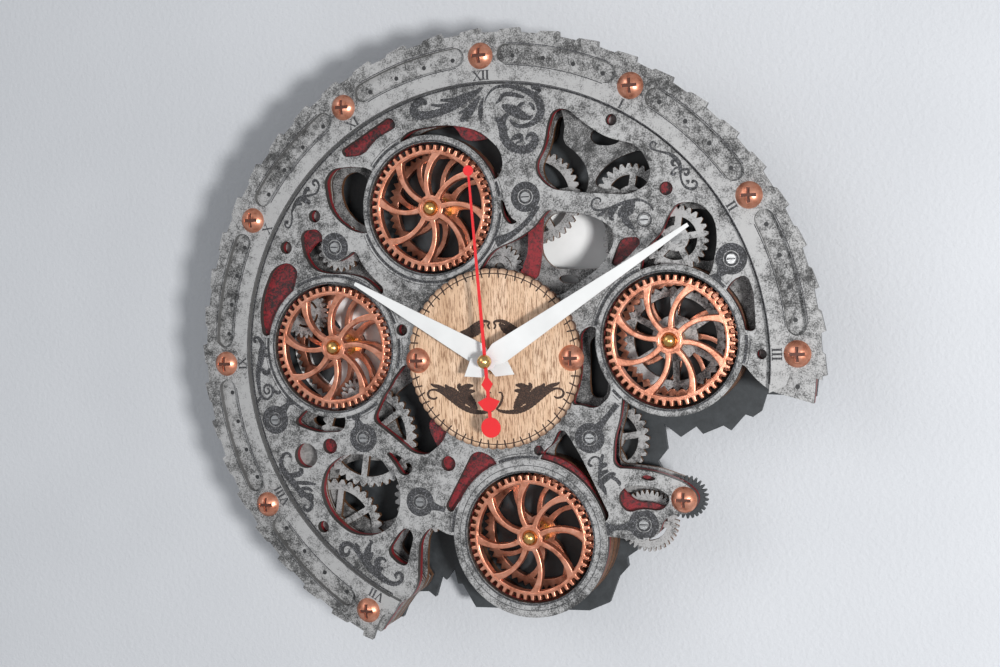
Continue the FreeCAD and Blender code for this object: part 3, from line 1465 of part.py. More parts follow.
def second_hand():
    """Red needle with a dot, an anchor-shaped counterweight and the ball cap."""
    back = second_hand_back
    tip = needle_half_width * needle_tip_share
    needle = straight_face([
        (tip, second_hand_length), (needle_half_width, 0),
        (needle_half_width, -tail_disc_centre), (-needle_half_width, -tail_disc_centre),
        (-needle_half_width, 0), (-tip, second_hand_length)], back)
    near, far = [-tail_diamond_radius * share for share in diamond_end_shares]
    diamond = straight_face([
        (0, near), (tail_diamond_half_width, -tail_diamond_radius),
        (0, far), (-tail_diamond_half_width, -tail_diamond_radius)], back)
    side = -tail_anchor_inner * anchor_side_share
    foot_x = tail_anchor_half_width * anchor_foot_shares[0]
    foot_z = -tail_anchor_outer * anchor_foot_shares[1]
    anchor = straight_face([
        (0, -tail_anchor_inner), (tail_anchor_half_width, side), (foot_x, foot_z),
        (0, -tail_anchor_outer), (-foot_x, foot_z), (-tail_anchor_half_width, side)], back)
    dots = [
        diamond, anchor,
        disc_face_at((0, second_hand_length), needle_dot_radius, back),
        disc_face_at((0, -tail_disc_centre), tail_disc_radius, back),
        disc_face_at((0, 0), ball_radius - end_play, back),
    ]
    face = needle.fuse(dots).removeSplitter()
    face = face.cut(disc_face_at((0, 0), seconds_arbor_radius + press_gap, back))
    body = slab(face, hand_thickness)
    ball = Part.makeSphere(ball_radius, at((0, 0), back + hand_thickness + ball_radius / 3))
    front = back + hand_thickness
    dome = ball.common(cylinder((0, 0), ball_radius, front, front + 2 * ball_radius))
    return turned(solid_of(body.fuse(dome)), second_hand_turn)


def write(name, shape):
    """Write one node and note how many solids it holds."""
    if isinstance(shape, list):
        shape = Part.makeCompound(shape)
    shape.exportStep("parts/" + name + ".step")
    print(name, len(shape.Solids), shape.isValid(), round(shape.Volume))


def build():
    os.makedirs("parts", exist_ok=True)
    single = [
        chapter_ring, front_plate, red_plate, upper_frame, toothed_layer, lower_frame,
        wheel_walls, back_plate, wall_feet, hanger_plate, dial_disc, axle_bushes,
        middle_gear, window_gears, drive_belt, gear_motor, motor_pulley, battery_box,
        battery_cells, gear_posts, bridge_plate, white_ring, top_panel, copper_screws,
        lug_screws, movement_case, movement_cover, movement_cell, step_motor, hour_wheel,
        minute_wheel, motion_wheel, setting_knob, seconds_wheel, fixing_nut, hour_hand,
        minute_hand, second_hand,
    ]
    for maker in single:
        write(maker.__name__, maker())
    for name in wheel_place_shares:
        write("front_wheel_" + name, front_wheel(name))
        write("rear_wheel_" + name, rear_wheel(name))
        write("axle_" + name, axle(name))
    for name in gear_shares:
        if name not in window_gear_names:
            write(name, fixed_gear(name))


build()
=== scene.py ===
import math

import bpy
from mathutils import Matrix, Vector
from mathutils.bvhtree import BVHTree


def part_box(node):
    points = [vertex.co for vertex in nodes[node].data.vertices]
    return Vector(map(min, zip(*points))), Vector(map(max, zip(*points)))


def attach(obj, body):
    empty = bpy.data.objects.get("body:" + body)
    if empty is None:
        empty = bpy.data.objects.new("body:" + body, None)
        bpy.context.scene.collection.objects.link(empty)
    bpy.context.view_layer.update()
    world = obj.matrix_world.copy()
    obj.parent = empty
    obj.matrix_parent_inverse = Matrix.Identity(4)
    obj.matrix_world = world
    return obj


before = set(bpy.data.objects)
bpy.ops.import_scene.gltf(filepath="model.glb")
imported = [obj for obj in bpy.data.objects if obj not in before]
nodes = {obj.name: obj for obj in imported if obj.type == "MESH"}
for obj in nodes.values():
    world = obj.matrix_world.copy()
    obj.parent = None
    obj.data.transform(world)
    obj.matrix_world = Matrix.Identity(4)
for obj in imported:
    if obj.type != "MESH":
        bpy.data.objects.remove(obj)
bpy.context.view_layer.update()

# Sizes below are millimetres on the dial: x to the viewer's right, z up, both from the
# axis of the hands. A depth is a distance from the wall, towards the viewer.
MM = 0.001

# Depths of the faces that the engravings lie on
plate_depth = -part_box("dial_disc")[1].y / MM
disc_depth = -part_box("dial_disc")[0].y / MM
ring_depth = -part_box("chapter_ring")[0].y / MM
bezel_depth = plate_depth + 0.8

# Places of screws
screw_circle = 165.0
disc_screw = 44.5
arm_screw = (102.465, -77.055)
bridge_screw = (86.6, 72.4)

# Outer radii of the raised bezels round the copper wheels
bezel_radius = 40.5
bottom_bezel_radius = 44.6
wheel_places = ("top_left", "left", "right", "bottom")

# Thickness of an engraving, and how far each of its groups lies above the one before
engraving_height = 0.06
group_step = 0.0015


def node_centre(name):
    """Centre of a node's box on the dial, in millimetres."""
    low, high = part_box(name)
    middle = (low + high) / 2 / MM
    return middle.x, middle.z


def polar(radius, clock_angle, centre=(0, 0)):
    """Place at that distance and angle, in degrees clockwise from twelve o'clock."""
    turn = math.radians(clock_angle)
    return centre[0] + radius * math.sin(turn), centre[1] + radius * math.cos(turn)


# Shader helpers

class Nodes:
    """Builds one procedural material round a Principled shader. Places are in metres."""

    def __init__(self, name, roughness=0.5, metallic=0.0):
        self.material = bpy.data.materials.new(name)
        self.material.use_nodes = True
        self.tree = self.material.node_tree
        self.tree.nodes.clear()
        self.shader = self.add("ShaderNodeBsdfPrincipled")
        output = self.add("ShaderNodeOutputMaterial")
        self.link(self.shader.outputs["BSDF"], output.inputs["Surface"])
        self.shader.inputs["Roughness"].default_value = roughness
        self.shader.inputs["Metallic"].default_value = metallic
        self.place = self.add("ShaderNodeTexCoord")

    def add(self, kind):
        return self.tree.nodes.new(kind)

    def link(self, start, end):
        self.tree.links.new(start, end)

    def noise(self, scale, detail=4.0, roughness=0.6, stretch=(1, 1, 1)):
        """Noise with that many features per metre."""
        mapping = self.add("ShaderNodeMapping")
        mapping.inputs["Scale"].default_value = stretch
        self.link(self.place.outputs["Object"], mapping.inputs["Vector"])
        texture = self.add("ShaderNodeTexNoise")
        texture.inputs["Scale"].default_value = scale
        texture.inputs["Detail"].default_value = detail
        texture.inputs["Roughness"].default_value = roughness
        self.link(mapping.outputs["Vector"], texture.inputs["Vector"])
        return texture.outputs["Fac"]

    def math(self, operation, first, second):
        """The result of one operation on two values, each a number or a socket."""
        node = self.add("ShaderNodeMath")
        node.operation = operation
        for index, value in enumerate((first, second)):
            if isinstance(value, (int, float)):
                node.inputs[index].default_value = value
            else:
                self.link(value, node.inputs[index])
        return node.outputs["Value"]

    def ramp(self, factor, stops, interpolation="LINEAR"):
        """Colours by factor. Each stop is a position and a colour."""
        node = self.add("ShaderNodeValToRGB")
        node.color_ramp.interpolation = interpolation
        elements = node.color_ramp.elements
        while len(elements) < len(stops):
            elements.new(0.5)
        for element, (position, colour) in zip(elements, stops):
            element.position = position
            element.color = (*colour, 1)
        self.link(factor, node.inputs["Fac"])
        return node.outputs["Color"]

    def mix(self, factor, first, second):
        """From the first colour to the second by factor. Each is a colour or a socket."""
        node = self.add("ShaderNodeMix")
        node.data_type = "RGBA"
        self.link(factor, node.inputs["Factor"])
        for socket, value in (("A", first), ("B", second)):
            slot = [s for s in node.inputs if s.name == socket and s.type == "RGBA"][0]
            if isinstance(value, tuple):
                slot.default_value = (*value, 1)
            else:
                self.link(value, slot)
        return [s for s in node.outputs if s.type == "RGBA"][0]

    def axis(self, letter, kind="Object"):
        """One coordinate of the place in metres, or of the surface's normal."""
        node = self.add("ShaderNodeSeparateXYZ")
        self.link(self.place.outputs[kind], node.inputs["Vector"])
        return node.outputs[letter]

    def radius(self):
        """Distance from the axis of the hands, in metres."""
        across, up = self.axis("X"), self.axis("Z")
        squares = self.math("ADD", self.math("MULTIPLY", across, across),
                            self.math("MULTIPLY", up, up))
        return self.math("SQRT", squares, 0)

    def edge_factor(self):
        """1 on the cut edges of a plate, 0 on its flat faces."""
        facing = self.math("ABSOLUTE", self.axis("Y", "Normal"), 0)
        return self.math("LESS_THAN", facing, 0.5)

    def colour(self, socket):
        self.link(socket, self.shader.inputs["Base Color"])

    def roughness(self, factor, low, high):
        """Roughness from low to high as the factor goes from 0 to 1."""
        node = self.add("ShaderNodeMapRange")
        node.inputs["To Min"].default_value = low
        node.inputs["To Max"].default_value = high
        self.link(factor, node.inputs["Value"])
        self.link(node.outputs["Result"], self.shader.inputs["Roughness"])

    def bump(self, height, distance_mm, strength=0.6):
        node = self.add("ShaderNodeBump")
        node.inputs["Strength"].default_value = strength
        node.inputs["Distance"].default_value = distance_mm * MM
        self.link(height, node.inputs["Height"])
        self.link(node.outputs["Normal"], self.shader.inputs["Normal"])


def patina_factor(m, cover, cloud_scale=40, grain_scale=1250):
    """About 0.5, higher in the dark patina. Cover moves the share that is dark."""
    cloud_share, patch_share, grain_share = 0.28, 0.31, 0.49
    back_to_half = (1 - cloud_share - patch_share - grain_share) / 2
    cloud = m.math("MULTIPLY", m.noise(cloud_scale, 3, 0.55), cloud_share)
    patch = m.math("MULTIPLY", m.noise(cloud_scale * 6, 4, 0.65), patch_share)
    grain = m.math("MULTIPLY", m.noise(grain_scale, 4, 0.8), grain_share)
    total = m.math("ADD", m.math("ADD", cloud, patch), grain)
    return m.math("ADD", total, cover + back_to_half)


def patina_tones(light):
    """Stops of a ramp: bare paint, thin patina, thick patina and black."""
    return [(position, tuple(c * share for c in light))
            for position, share in ((0.45, 1), (0.495, 0.68), (0.535, 0.32), (0.59, 0.08))]


def aged_silver(name, cover=0.0, light=(0.40, 0.395, 0.39), edge=(0.06, 0.055, 0.05)):
    """Silver paint with dark patina on its flat faces and another colour on its cut edges."""
    m = Nodes(name, 0.5, 0.3)
    factor = patina_factor(m, cover)
    m.colour(m.mix(m.edge_factor(), m.ramp(factor, patina_tones(light)), edge))
    m.roughness(factor, 0.35, 0.7)
    m.bump(factor, 0.35, 0.5)
    return m.material


def ring_silver():
    """The hour ring: smooth inside, with speckled patina towards its teeth."""
    clean_radius, growth = 162 * MM, 6.0
    least, most = -0.04, 0.014
    m = Nodes("ring_silver", 0.5, 0.3)
    outward = m.math("MULTIPLY", m.math("SUBTRACT", m.radius(), clean_radius), growth)
    outward = m.math("MINIMUM", m.math("MAXIMUM", outward, least), most)
    factor = m.math("ADD", patina_factor(m, -0.004), outward)
    face = m.ramp(factor, patina_tones((0.385, 0.38, 0.375)))
    m.colour(m.mix(m.edge_factor(), face, (0.13, 0.128, 0.125)))
    m.roughness(factor, 0.35, 0.65)
    m.bump(factor, 0.3, 0.5)
    return m.material


def engraved_dark(name, colour=(0.028, 0.028, 0.030), speck=6.5):
    """Dark ground with paler specks, as many times as light as the colour as speck says."""
    m = Nodes(name, 0.75)
    grain = m.noise(1500, 4, 0.8)
    m.colour(m.ramp(grain, [(0.44, tuple(c * 0.6 for c in colour)), (0.53, colour),
                            (0.63, tuple(min(1, c * speck) for c in colour))]))
    m.bump(grain, 0.1)
    return m.material


def red_paint():
    """Worn red with dark blotches."""
    m = Nodes("distressed_red", 0.55)
    factor = patina_factor(m, 0.01, cloud_scale=70, grain_scale=900)
    face = m.ramp(factor, [(0.45, (0.23, 0.008, 0.014)), (0.52, (0.12, 0.006, 0.009)),
                           (0.58, (0.015, 0.005, 0.006))])
    m.colour(m.mix(m.edge_factor(), face, (0.20, 0.012, 0.016)))
    m.bump(factor, 0.2)
    return m.material


def layered_edge(name, node, bands):
    """Stack of thin boards seen from the side: one colour band after another by depth."""
    low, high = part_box(node)
    m = Nodes(name, 0.6)
    across = m.math("DIVIDE", m.math("SUBTRACT", m.axis("Y"), low.y), high.y - low.y)
    stripes = m.ramp(across, bands, "CONSTANT")
    worn = m.ramp(m.noise(350, 4, 0.7, (1, 0.3, 1)), [(0.3, (0.35, 0.35, 0.35)),
                                                      (0.6, (1, 1, 1))])
    node_mix = m.add("ShaderNodeMix")
    node_mix.data_type = "RGBA"
    node_mix.blend_type = "MULTIPLY"
    node_mix.inputs["Factor"].default_value = 1.0
    sockets = [s for s in node_mix.inputs if s.type == "RGBA"]
    m.link(stripes, sockets[0])
    m.link(worn, sockets[1])
    m.colour([s for s in node_mix.outputs if s.type == "RGBA"][0])
    m.bump(m.noise(500, 3), 0.1)
    return m.material


def charcoal():
    m = Nodes("charcoal_paint", 0.55)
    grain = m.noise(160, 5, 0.7)
    m.colour(m.ramp(grain, [(0.3, (0.016, 0.019, 0.021)), (0.6, (0.034, 0.039, 0.043)),
                            (0.8, (0.055, 0.06, 0.064))]))
    m.roughness(grain, 0.45, 0.7)
    m.bump(m.noise(900, 3), 0.08)
    return m.material


def copper(name, tone):
    """Copper paint with dark wear. Tone makes all its colours lighter or darker."""
    shades = ((0.28, (0.24, 0.075, 0.045)), (0.45, (0.62, 0.25, 0.155)),
              (0.72, (0.84, 0.41, 0.285)))
    m = Nodes(name, 0.32, 0.9)
    wear = m.noise(210, 5, 0.65)
    m.colour(m.ramp(wear, [(position, tuple(c * tone for c in shade))
                           for position, shade in shades]))
    m.roughness(wear, 0.42, 0.22)
    m.bump(m.noise(520, 4, 0.6), 0.15, 0.45)
    return m.material


def brass(name="polished_brass", colour=(0.74, 0.43, 0.15)):
    m = Nodes(name, 0.24, 1.0)
    wear = m.noise(300, 4)
    m.colour(m.ramp(wear, [(0.3, tuple(c * 0.6 for c in colour)), (0.6, colour)]))
    m.roughness(wear, 0.34, 0.16)
    m.bump(m.noise(900, 3), 0.04, 0.4)
    return m.material


def steel(name="satin_steel", level=0.5):
    """Brushed steel of that grey level."""
    m = Nodes(name, 0.35, 1.0)
    wear = m.noise(260, 4, 0.6, (1, 1, 6))
    m.colour(m.ramp(wear, [(0.3, (level * 0.55,) * 3), (0.62, (level,) * 3)]))
    m.roughness(wear, 0.45, 0.25)
    m.bump(m.noise(1200, 3, 0.6, (1, 1, 8)), 0.04, 0.4)
    return m.material


def wood():
    """Pale ply with short dark pores that run up and down, scorched near its rim."""
    scorch_starts, scorch_full = 47.7, 49.7
    m = Nodes("pale_wood", 0.55)
    board = m.noise(34, 4, 0.6, (3.2, 1, 0.5))
    pores = m.noise(560, 4, 0.72, (2.4, 1, 0.28))
    base = m.ramp(board, [(0.30, (0.52, 0.330, 0.200)), (0.5, (0.66, 0.450, 0.295)),
                          (0.70, (0.76, 0.560, 0.400))])
    factor = m.ramp(pores, [(0.40, (0.85, 0.85, 0.85)), (0.52, (0, 0, 0))])
    sawn = m.mix(factor, base, (0.21, 0.100, 0.046))
    decimetres = m.math("MULTIPLY", m.radius(), 10.0)
    scorch = m.ramp(decimetres, [(scorch_starts / 100, (0, 0, 0)),
                                 (scorch_full / 100, (0.8, 0.8, 0.8))])
    face = m.mix(scorch, sawn, (0.10, 0.042, 0.020))
    m.colour(m.mix(m.edge_factor(), face, (0.09, 0.038, 0.018)))
    m.bump(pores, 0.12, 0.5)
    return m.material


def smooth_paint(name, colour, roughness=0.4, metallic=0.0):
    """Sprayed or moulded surface: nearly even, with a fine grain and light wear."""
    m = Nodes(name, roughness, metallic)
    tone = m.noise(45, 3)
    m.colour(m.ramp(tone, [(0.3, tuple(c * 0.88 for c in colour)), (0.7, colour)]))
    m.roughness(m.noise(300, 3), roughness * 0.8, min(1.0, roughness * 1.25))
    m.bump(m.noise(1400, 2), 0.03, 0.4)
    return m.material


# Finishes of the solids

silver = aged_silver("mottled_silver")
dark_silver = aged_silver("worn_silver", 0.025, (0.36, 0.355, 0.35), (0.15, 0.068, 0.032))
pale_silver = aged_silver("pale_silver", -0.018, (0.40, 0.395, 0.39), (0.14, 0.070, 0.036))
bridge_silver = aged_silver("bridge_silver", 0.055, (0.38, 0.375, 0.37), (0.05, 0.035, 0.03))
copper_front = copper("copper_paint", 1.12)
# The rear wheels take a darker copy of the same copper paint: painted shade for wheels lying
# behind the front ones
copper_rear_shaded = copper("copper_shade", 0.85)
copper_screw = copper("copper_screw", 1.05)
# Painted shade for the floors of the cross recesses in the copper screws
recess_painted_shade = smooth_paint("recess_painted_shade", (0.10, 0.040, 0.028), 0.5, 0.4)
brass_turned = brass()
charcoal_paint = charcoal()
cell_wrap = smooth_paint("cell_wrap", (0.03, 0.11, 0.09), 0.3, 0.3)
white_gloss = smooth_paint("white_gloss", (0.88, 0.88, 0.87), 0.14)
white_hand = smooth_paint("white_hand", (0.72, 0.72, 0.71), 0.35)
red_hand = smooth_paint("red_hand", (0.72, 0.018, 0.022), 0.35)
black_mould = smooth_paint("black_mould", (0.018, 0.018, 0.019), 0.5)
ink = engraved_dark("dark_engraving")
burnt = engraved_dark("burnt_drawing", (0.034, 0.016, 0.009), 3.0)

# Edge colours of the boards in each thick layer, from its front to its back
upper_bands = [(0.0, (0.30, 0.29, 0.28)), (0.12, (0.045, 0.03, 0.022)),
               (0.30, (0.36, 0.35, 0.34)), (0.46, (0.15, 0.068, 0.032)),
               (0.66, (0.34, 0.33, 0.32)), (0.80, (0.05, 0.032, 0.025))]
lower_bands = [(0.0, (0.15, 0.068, 0.032)), (0.20, (0.33, 0.32, 0.31)),
               (0.32, (0.05, 0.03, 0.02)), (0.50, (0.17, 0.078, 0.036)),
               (0.78, (0.03, 0.03, 0.032))]
wall_bands = [(0.0, (0.16, 0.073, 0.034)), (0.30, (0.04, 0.025, 0.018)),
              (0.45, (0.15, 0.066, 0.03)), (0.72, (0.05, 0.03, 0.02)),
              (0.84, (0.14, 0.062, 0.03))]

finishes = {
    "chapter_ring": ring_silver(),
    "front_plate": silver,
    "red_plate": red_paint(),
    "upper_frame": layered_edge("upper_boards", "upper_frame", upper_bands),
    "lower_frame": layered_edge("lower_boards", "lower_frame", lower_bands),
    "wheel_walls": layered_edge("well_boards", "wheel_walls", wall_bands),
    "toothed_layer": dark_silver,
    "window_gears": pale_silver,
    "bridge_plate": bridge_silver,
    "back_plate": charcoal_paint,
    "gear_arm_end": charcoal_paint,
    "wall_feet": black_mould,
    "hanger_plate": steel(),
    "dial_disc": wood(),
    "axle_bushes": brass_turned,
    "gear_posts": steel("turned_steel", 0.42),
    "middle_gear": pale_silver,
    "drive_belt": smooth_paint("belt_rubber", (0.014, 0.014, 0.014), 0.8),
    "gear_motor": steel("motor_can", 0.46),
    "motor_pulley": black_mould,
    "battery_box": black_mould,
    "battery_cells": cell_wrap,
    "movement_cell": cell_wrap,
    "white_ring": white_gloss,
    "top_panel": white_gloss,
    "copper_screws": copper_screw,
    "lug_screws": steel("screw_steel", 0.55),
    "movement_case": black_mould,
    "movement_cover": black_mould,
    "step_motor": copper("coil_wire", 0.8),
    "fixing_nut": brass_turned,
    "hour_hand": white_hand,
    "minute_hand": white_hand,
    "second_hand": red_hand,
}
family_finishes = {"front_wheel": copper_front, "rear_wheel": copper_rear_shaded,
                   "axle": brass_turned, "gear_": pale_silver}


def finish_of(name):
    """A solid's own finish, or its family's. The movement's wheels are white."""
    if name in finishes:
        return finishes[name]
    for start, finish in family_finishes.items():
        if name.startswith(start):
            return finish
    return white_gloss


for name, solid in nodes.items():
    solid.data.materials.clear()
    solid.data.materials.append(finish_of(name))


def soften(solid, width_mm, segments):
    """Rounds the sharp edges of a solid for the light to catch."""
    weld = solid.modifiers.new("weld", "WELD")
    weld.merge_threshold = 0.002 * MM
    bevel = solid.modifiers.new("bevel", "BEVEL")
    bevel.width = width_mm * MM
    bevel.segments = segments
    bevel.limit_method = "ANGLE"
    bevel.angle_limit = math.radians(38)
    bevel.use_clamp_overlap = True
    bevel.miter_outer = "MITER_ARC"
    normals = solid.modifiers.new("normals", "WEIGHTED_NORMAL")
    normals.keep_sharp = False


# Flat pieces laid on a face

plate_mesh = nodes["front_plate"].data
plate_tree = BVHTree.FromPolygons([v.co.copy() for v in plate_mesh.vertices],
                                  [tuple(p.vertices) for p in plate_mesh.polygons])


def on_plate(point):
    """True where the front plate has its flat face at that place."""
    in_front, tolerance = 300, 0.05
    start = Vector((point[0], -in_front, point[1])) * MM
    hit = plate_tree.ray_cast(start, Vector((0, 1, 0)))[0]
    return hit is not None and abs(-hit.y / MM - plate_depth) < tolerance


def laid_piece(name, groups, depth, material, body="case", height=engraving_height):
    """Quads of (x, z) points, laid on a face at that depth and given a small thickness.

    Each group lies a little higher than the one before, so that groups may cross.
    """
    vertices = []
    faces = []
    for index, quads in enumerate(groups):
        y = -(depth + index * group_step) * MM
        for quad in quads:
            faces.append(tuple(range(len(vertices), len(vertices) + len(quad))))
            vertices += [(x * MM, y, z * MM) for x, z in quad]
    mesh = bpy.data.meshes.new(name)
    mesh.from_pydata(vertices, [], faces)
    mesh.materials.append(material)
    piece = bpy.data.objects.new(name, mesh)
    bpy.context.scene.collection.objects.link(piece)
    weld = piece.modifiers.new("weld", "WELD")
    weld.merge_threshold = 0.001 * MM
    thick = piece.modifiers.new("thickness", "SOLIDIFY")
    thick.thickness = height * MM
    thick.offset = 0
    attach(piece, body)
    return piece


def smooth_path(points, steps):
    """A smooth line through the given points, each (x, z, width), by Catmull and Rom."""
    line = []
    last = len(points) - 1
    for index in range(last):
        before = points[max(index - 1, 0)]
        start, end = points[index], points[index + 1]
        after = points[min(index + 2, last)]
        for step in range(steps):
            t = step / steps
            line.append(tuple(
                0.5 * (2 * s + (e - b) * t + (2 * b - 5 * s + 4 * e - a) * t * t
                       + (3 * s - b - 3 * e + a) * t ** 3)
                for b, s, e, a in zip(before, start, end, after)))
    line.append(points[last])
    return line


def ribbon(points, steps, ripple=0.0):
    """Quads of a band that follows the points and takes their widths.

    Ripple makes its two sides uneven by that share of the width, one behind the other.
    """
    beat, lag, least_width = 2.3, 2, 0.05
    line = smooth_path(points, steps)
    sides = []
    for index, (x, z, width) in enumerate(line):
        x0, z0, _ = line[max(index - 1, 0)]
        x1, z1, _ = line[min(index + 1, len(line) - 1)]
        length = math.hypot(x1 - x0, z1 - z0) or 1
        normal = (-(z1 - z0) / length, (x1 - x0) / length)
        left = max(width * (1 + ripple * math.sin(beat * index)), least_width) / 2
        right = max(width * (1 + ripple * math.sin(beat * index + lag)), least_width) / 2
        sides.append(((x + normal[0] * left, z + normal[1] * left),
                      (x - normal[0] * right, z - normal[1] * right)))
    return [(sides[i][0], sides[i][1], sides[i + 1][1], sides[i + 1][0])
            for i in range(len(sides) - 1)]


def annulus(centre, inner, outer, start=0, sweep=360, step=3):
    """Quads of a flat ring or of a stretch of it, each about step degrees long."""
    count = max(2, round(sweep / step))
    quads = []
    for index in range(count):
        first = start + sweep * index / count
        last = start + sweep * (index + 1) / count
        quads.append((polar(inner, first, centre), polar(outer, first, centre),
                      polar(outer, last, centre), polar(inner, last, centre)))
    return quads


def rectangle(centre, half_width, half_height):
    """One upright quad round that place."""
    x, z = centre
    return [(x - half_width, z - half_height), (x + half_width, z - half_height),
            (x + half_width, z + half_height), (x - half_width, z + half_height)]


def kept(quads):
    """The quads that lie wholly on the front plate."""
    return [quad for quad in quads if all(on_plate(point) for point in quad)]


def mirrored(quads):
    """The same quads on the other side of the line from twelve to six o'clock."""
    return [[(-x, z) for x, z in reversed(quad)] for quad in quads]


# Leaf and scroll ornament, engraved in the plate. Points are (x, z, width).
top_scrolls = [
    [(-34, 141.2, 1.5), (-35.2, 143, 3.6), (-38.5, 143, 4.2), (-41.6, 139.8, 4.8),
     (-39.5, 136, 5.2), (-32, 135.8, 4.4), (-24, 137.2, 4.2), (-19, 139.6, 5.6),
     (-14, 142, 6.2), (-9, 144, 4.8), (-5, 145.8, 3.2), (-0.5, 148.3, 0.8)],
    [(-25.5, 143.2, 1.6), (-22, 142.9, 2), (-17, 142.8, 3), (-12, 144, 3)],
    [(-31, 141, 1.2), (-27, 140.3, 1.8), (-21, 140.4, 2.4), (-15, 141.5, 3)],
    [(-2, 144, 0.5), (-5, 140.5, 3.2), (-8.5, 136.5, 5.2), (-11.5, 133, 4.2),
     (-14.5, 131, 1.6)],
    [(-15, 135.2, 1.2), (-12.5, 136.2, 1.8), (-9, 137.5, 2)],
    [(-0.2, 143.2, 0.5), (-2, 138.5, 2.4), (-2.4, 134, 2.8), (-2.6, 130.4, 0.8)],
    [(0.3, 140.5, 0.7), (2.5, 144.5, 1.0), (6.5, 147.6, 1.6), (12, 148.2, 2.0),
     (18, 147, 2.4), (24, 144.6, 3.0), (29.5, 140.8, 4.2), (32, 135.5, 4.6),
     (30.8, 130.4, 4.4), (26.8, 127.2, 3.2), (21.5, 125.9, 2.4), (17, 127, 2.2),
     (14.2, 129.8, 1.2)],
    [(6.5, 139, 0.8), (9, 141, 2), (11, 143.4, 2.4), (15, 143.6, 2.6), (19.5, 142.4, 2.2),
     (23, 141.2, 1.0)],
    [(10, 138, 1.5), (13, 136.3, 4.5), (17, 134.3, 6.0), (21.5, 131.5, 4.6),
     (25.5, 130.3, 2.5), (27.5, 131.5, 0.8)],
    [(18, 135, 2), (21, 137.7, 2.2), (23, 138.1, 1)],
    [(25.5, 138.5, 0.8), (27.3, 136.5, 2), (28.4, 134, 1.4)],
    [(13.5, 133, 2), (11, 131, 3.5), (9.5, 128, 4)],
    [(5.5, 130.5, 1), (8.5, 129.5, 4.5), (10, 125, 5), (10.5, 120.5, 5),
     (13.5, 116.2, 5.2), (19, 113.4, 4.6), (24.5, 113.8, 5), (28, 117.5, 4.6),
     (27, 121, 3), (24.5, 121, 2), (22.8, 118.5, 1.4)],
    [(14.5, 119, 1.2), (17, 120.2, 3), (19.8, 120.6, 3.2), (20.2, 118.2, 1.6),
     (17, 116.9, 0.8)],
    [(27, 146.3, 2), (29.5, 146.6, 4), (31.3, 144.8, 3.2), (29.5, 142.8, 2)],
]
right_scrolls = [
    [(93.8, 110.8, 0.7), (94.4, 112, 0.9), (92.8, 113, 1.0), (91.2, 111.7, 1.0),
     (91.9, 109.5, 1.0), (95.6, 108, 1.1), (99.4, 106.8, 1.3), (102.5, 105.5, 2.0),
     (105, 103, 2.6), (106.6, 100.5, 2.2), (106.9, 97.4, 1.8), (106.9, 93.6, 1.2),
     (108.1, 89.9, 1.2), (110.6, 87.7, 1.5), (113.8, 87.4, 1.6), (115.3, 89, 1.4),
     (115, 90.8, 1.2), (113.4, 91.4, 1.4), (112.8, 90.2, 1.2)],
    [(104.8, 103.5, 1), (102.8, 102, 2.0), (103, 100.2, 1.4), (104.6, 100, 0.8)],
    [(106.5, 98.5, 1), (104.8, 98.8, 1.2), (102.8, 97.2, 1.0), (102.2, 95.8, 1.6),
     (103.6, 95.2, 1.2), (104.6, 96.4, 0.8)],
    [(107, 97.5, 1), (109, 97.6, 1.4), (111, 97.4, 1.2), (111, 95.4, 1.6),
     (109.6, 94.8, 1.4), (108.8, 96, 0.8)],
    [(109.5, 91.6, 0.8), (111, 91.4, 1.2), (110.6, 90, 0.8)],
    [(62.8, 82.7, 0.8), (63.1, 84.2, 0.9), (61.2, 85.2, 1.0), (58.8, 83.9, 1.1),
     (58.1, 81.1, 1.1), (59.7, 79, 1.2), (64.4, 78.6, 1.4), (70.6, 80.2, 1.6),
     (76.2, 82, 2.0), (81.9, 83, 1.8), (86.2, 82.4, 1.2), (90, 79.9, 1.1), (91.6, 77, 0.8)],
    [(66, 78.5, 1), (63.5, 76.6, 2), (61, 75.5, 1)],
    [(72, 80.5, 2.5), (69, 77.5, 4), (68.5, 74.5, 2.4), (70, 72.8, 1)],
    [(81, 82.5, 2.5), (78.5, 79, 6.5), (75, 76.5, 6), (72.5, 75, 2)],
    [(76, 77, 3), (76.5, 72.5, 4), (79.5, 69, 2.6), (81, 67.5, 1)],
]
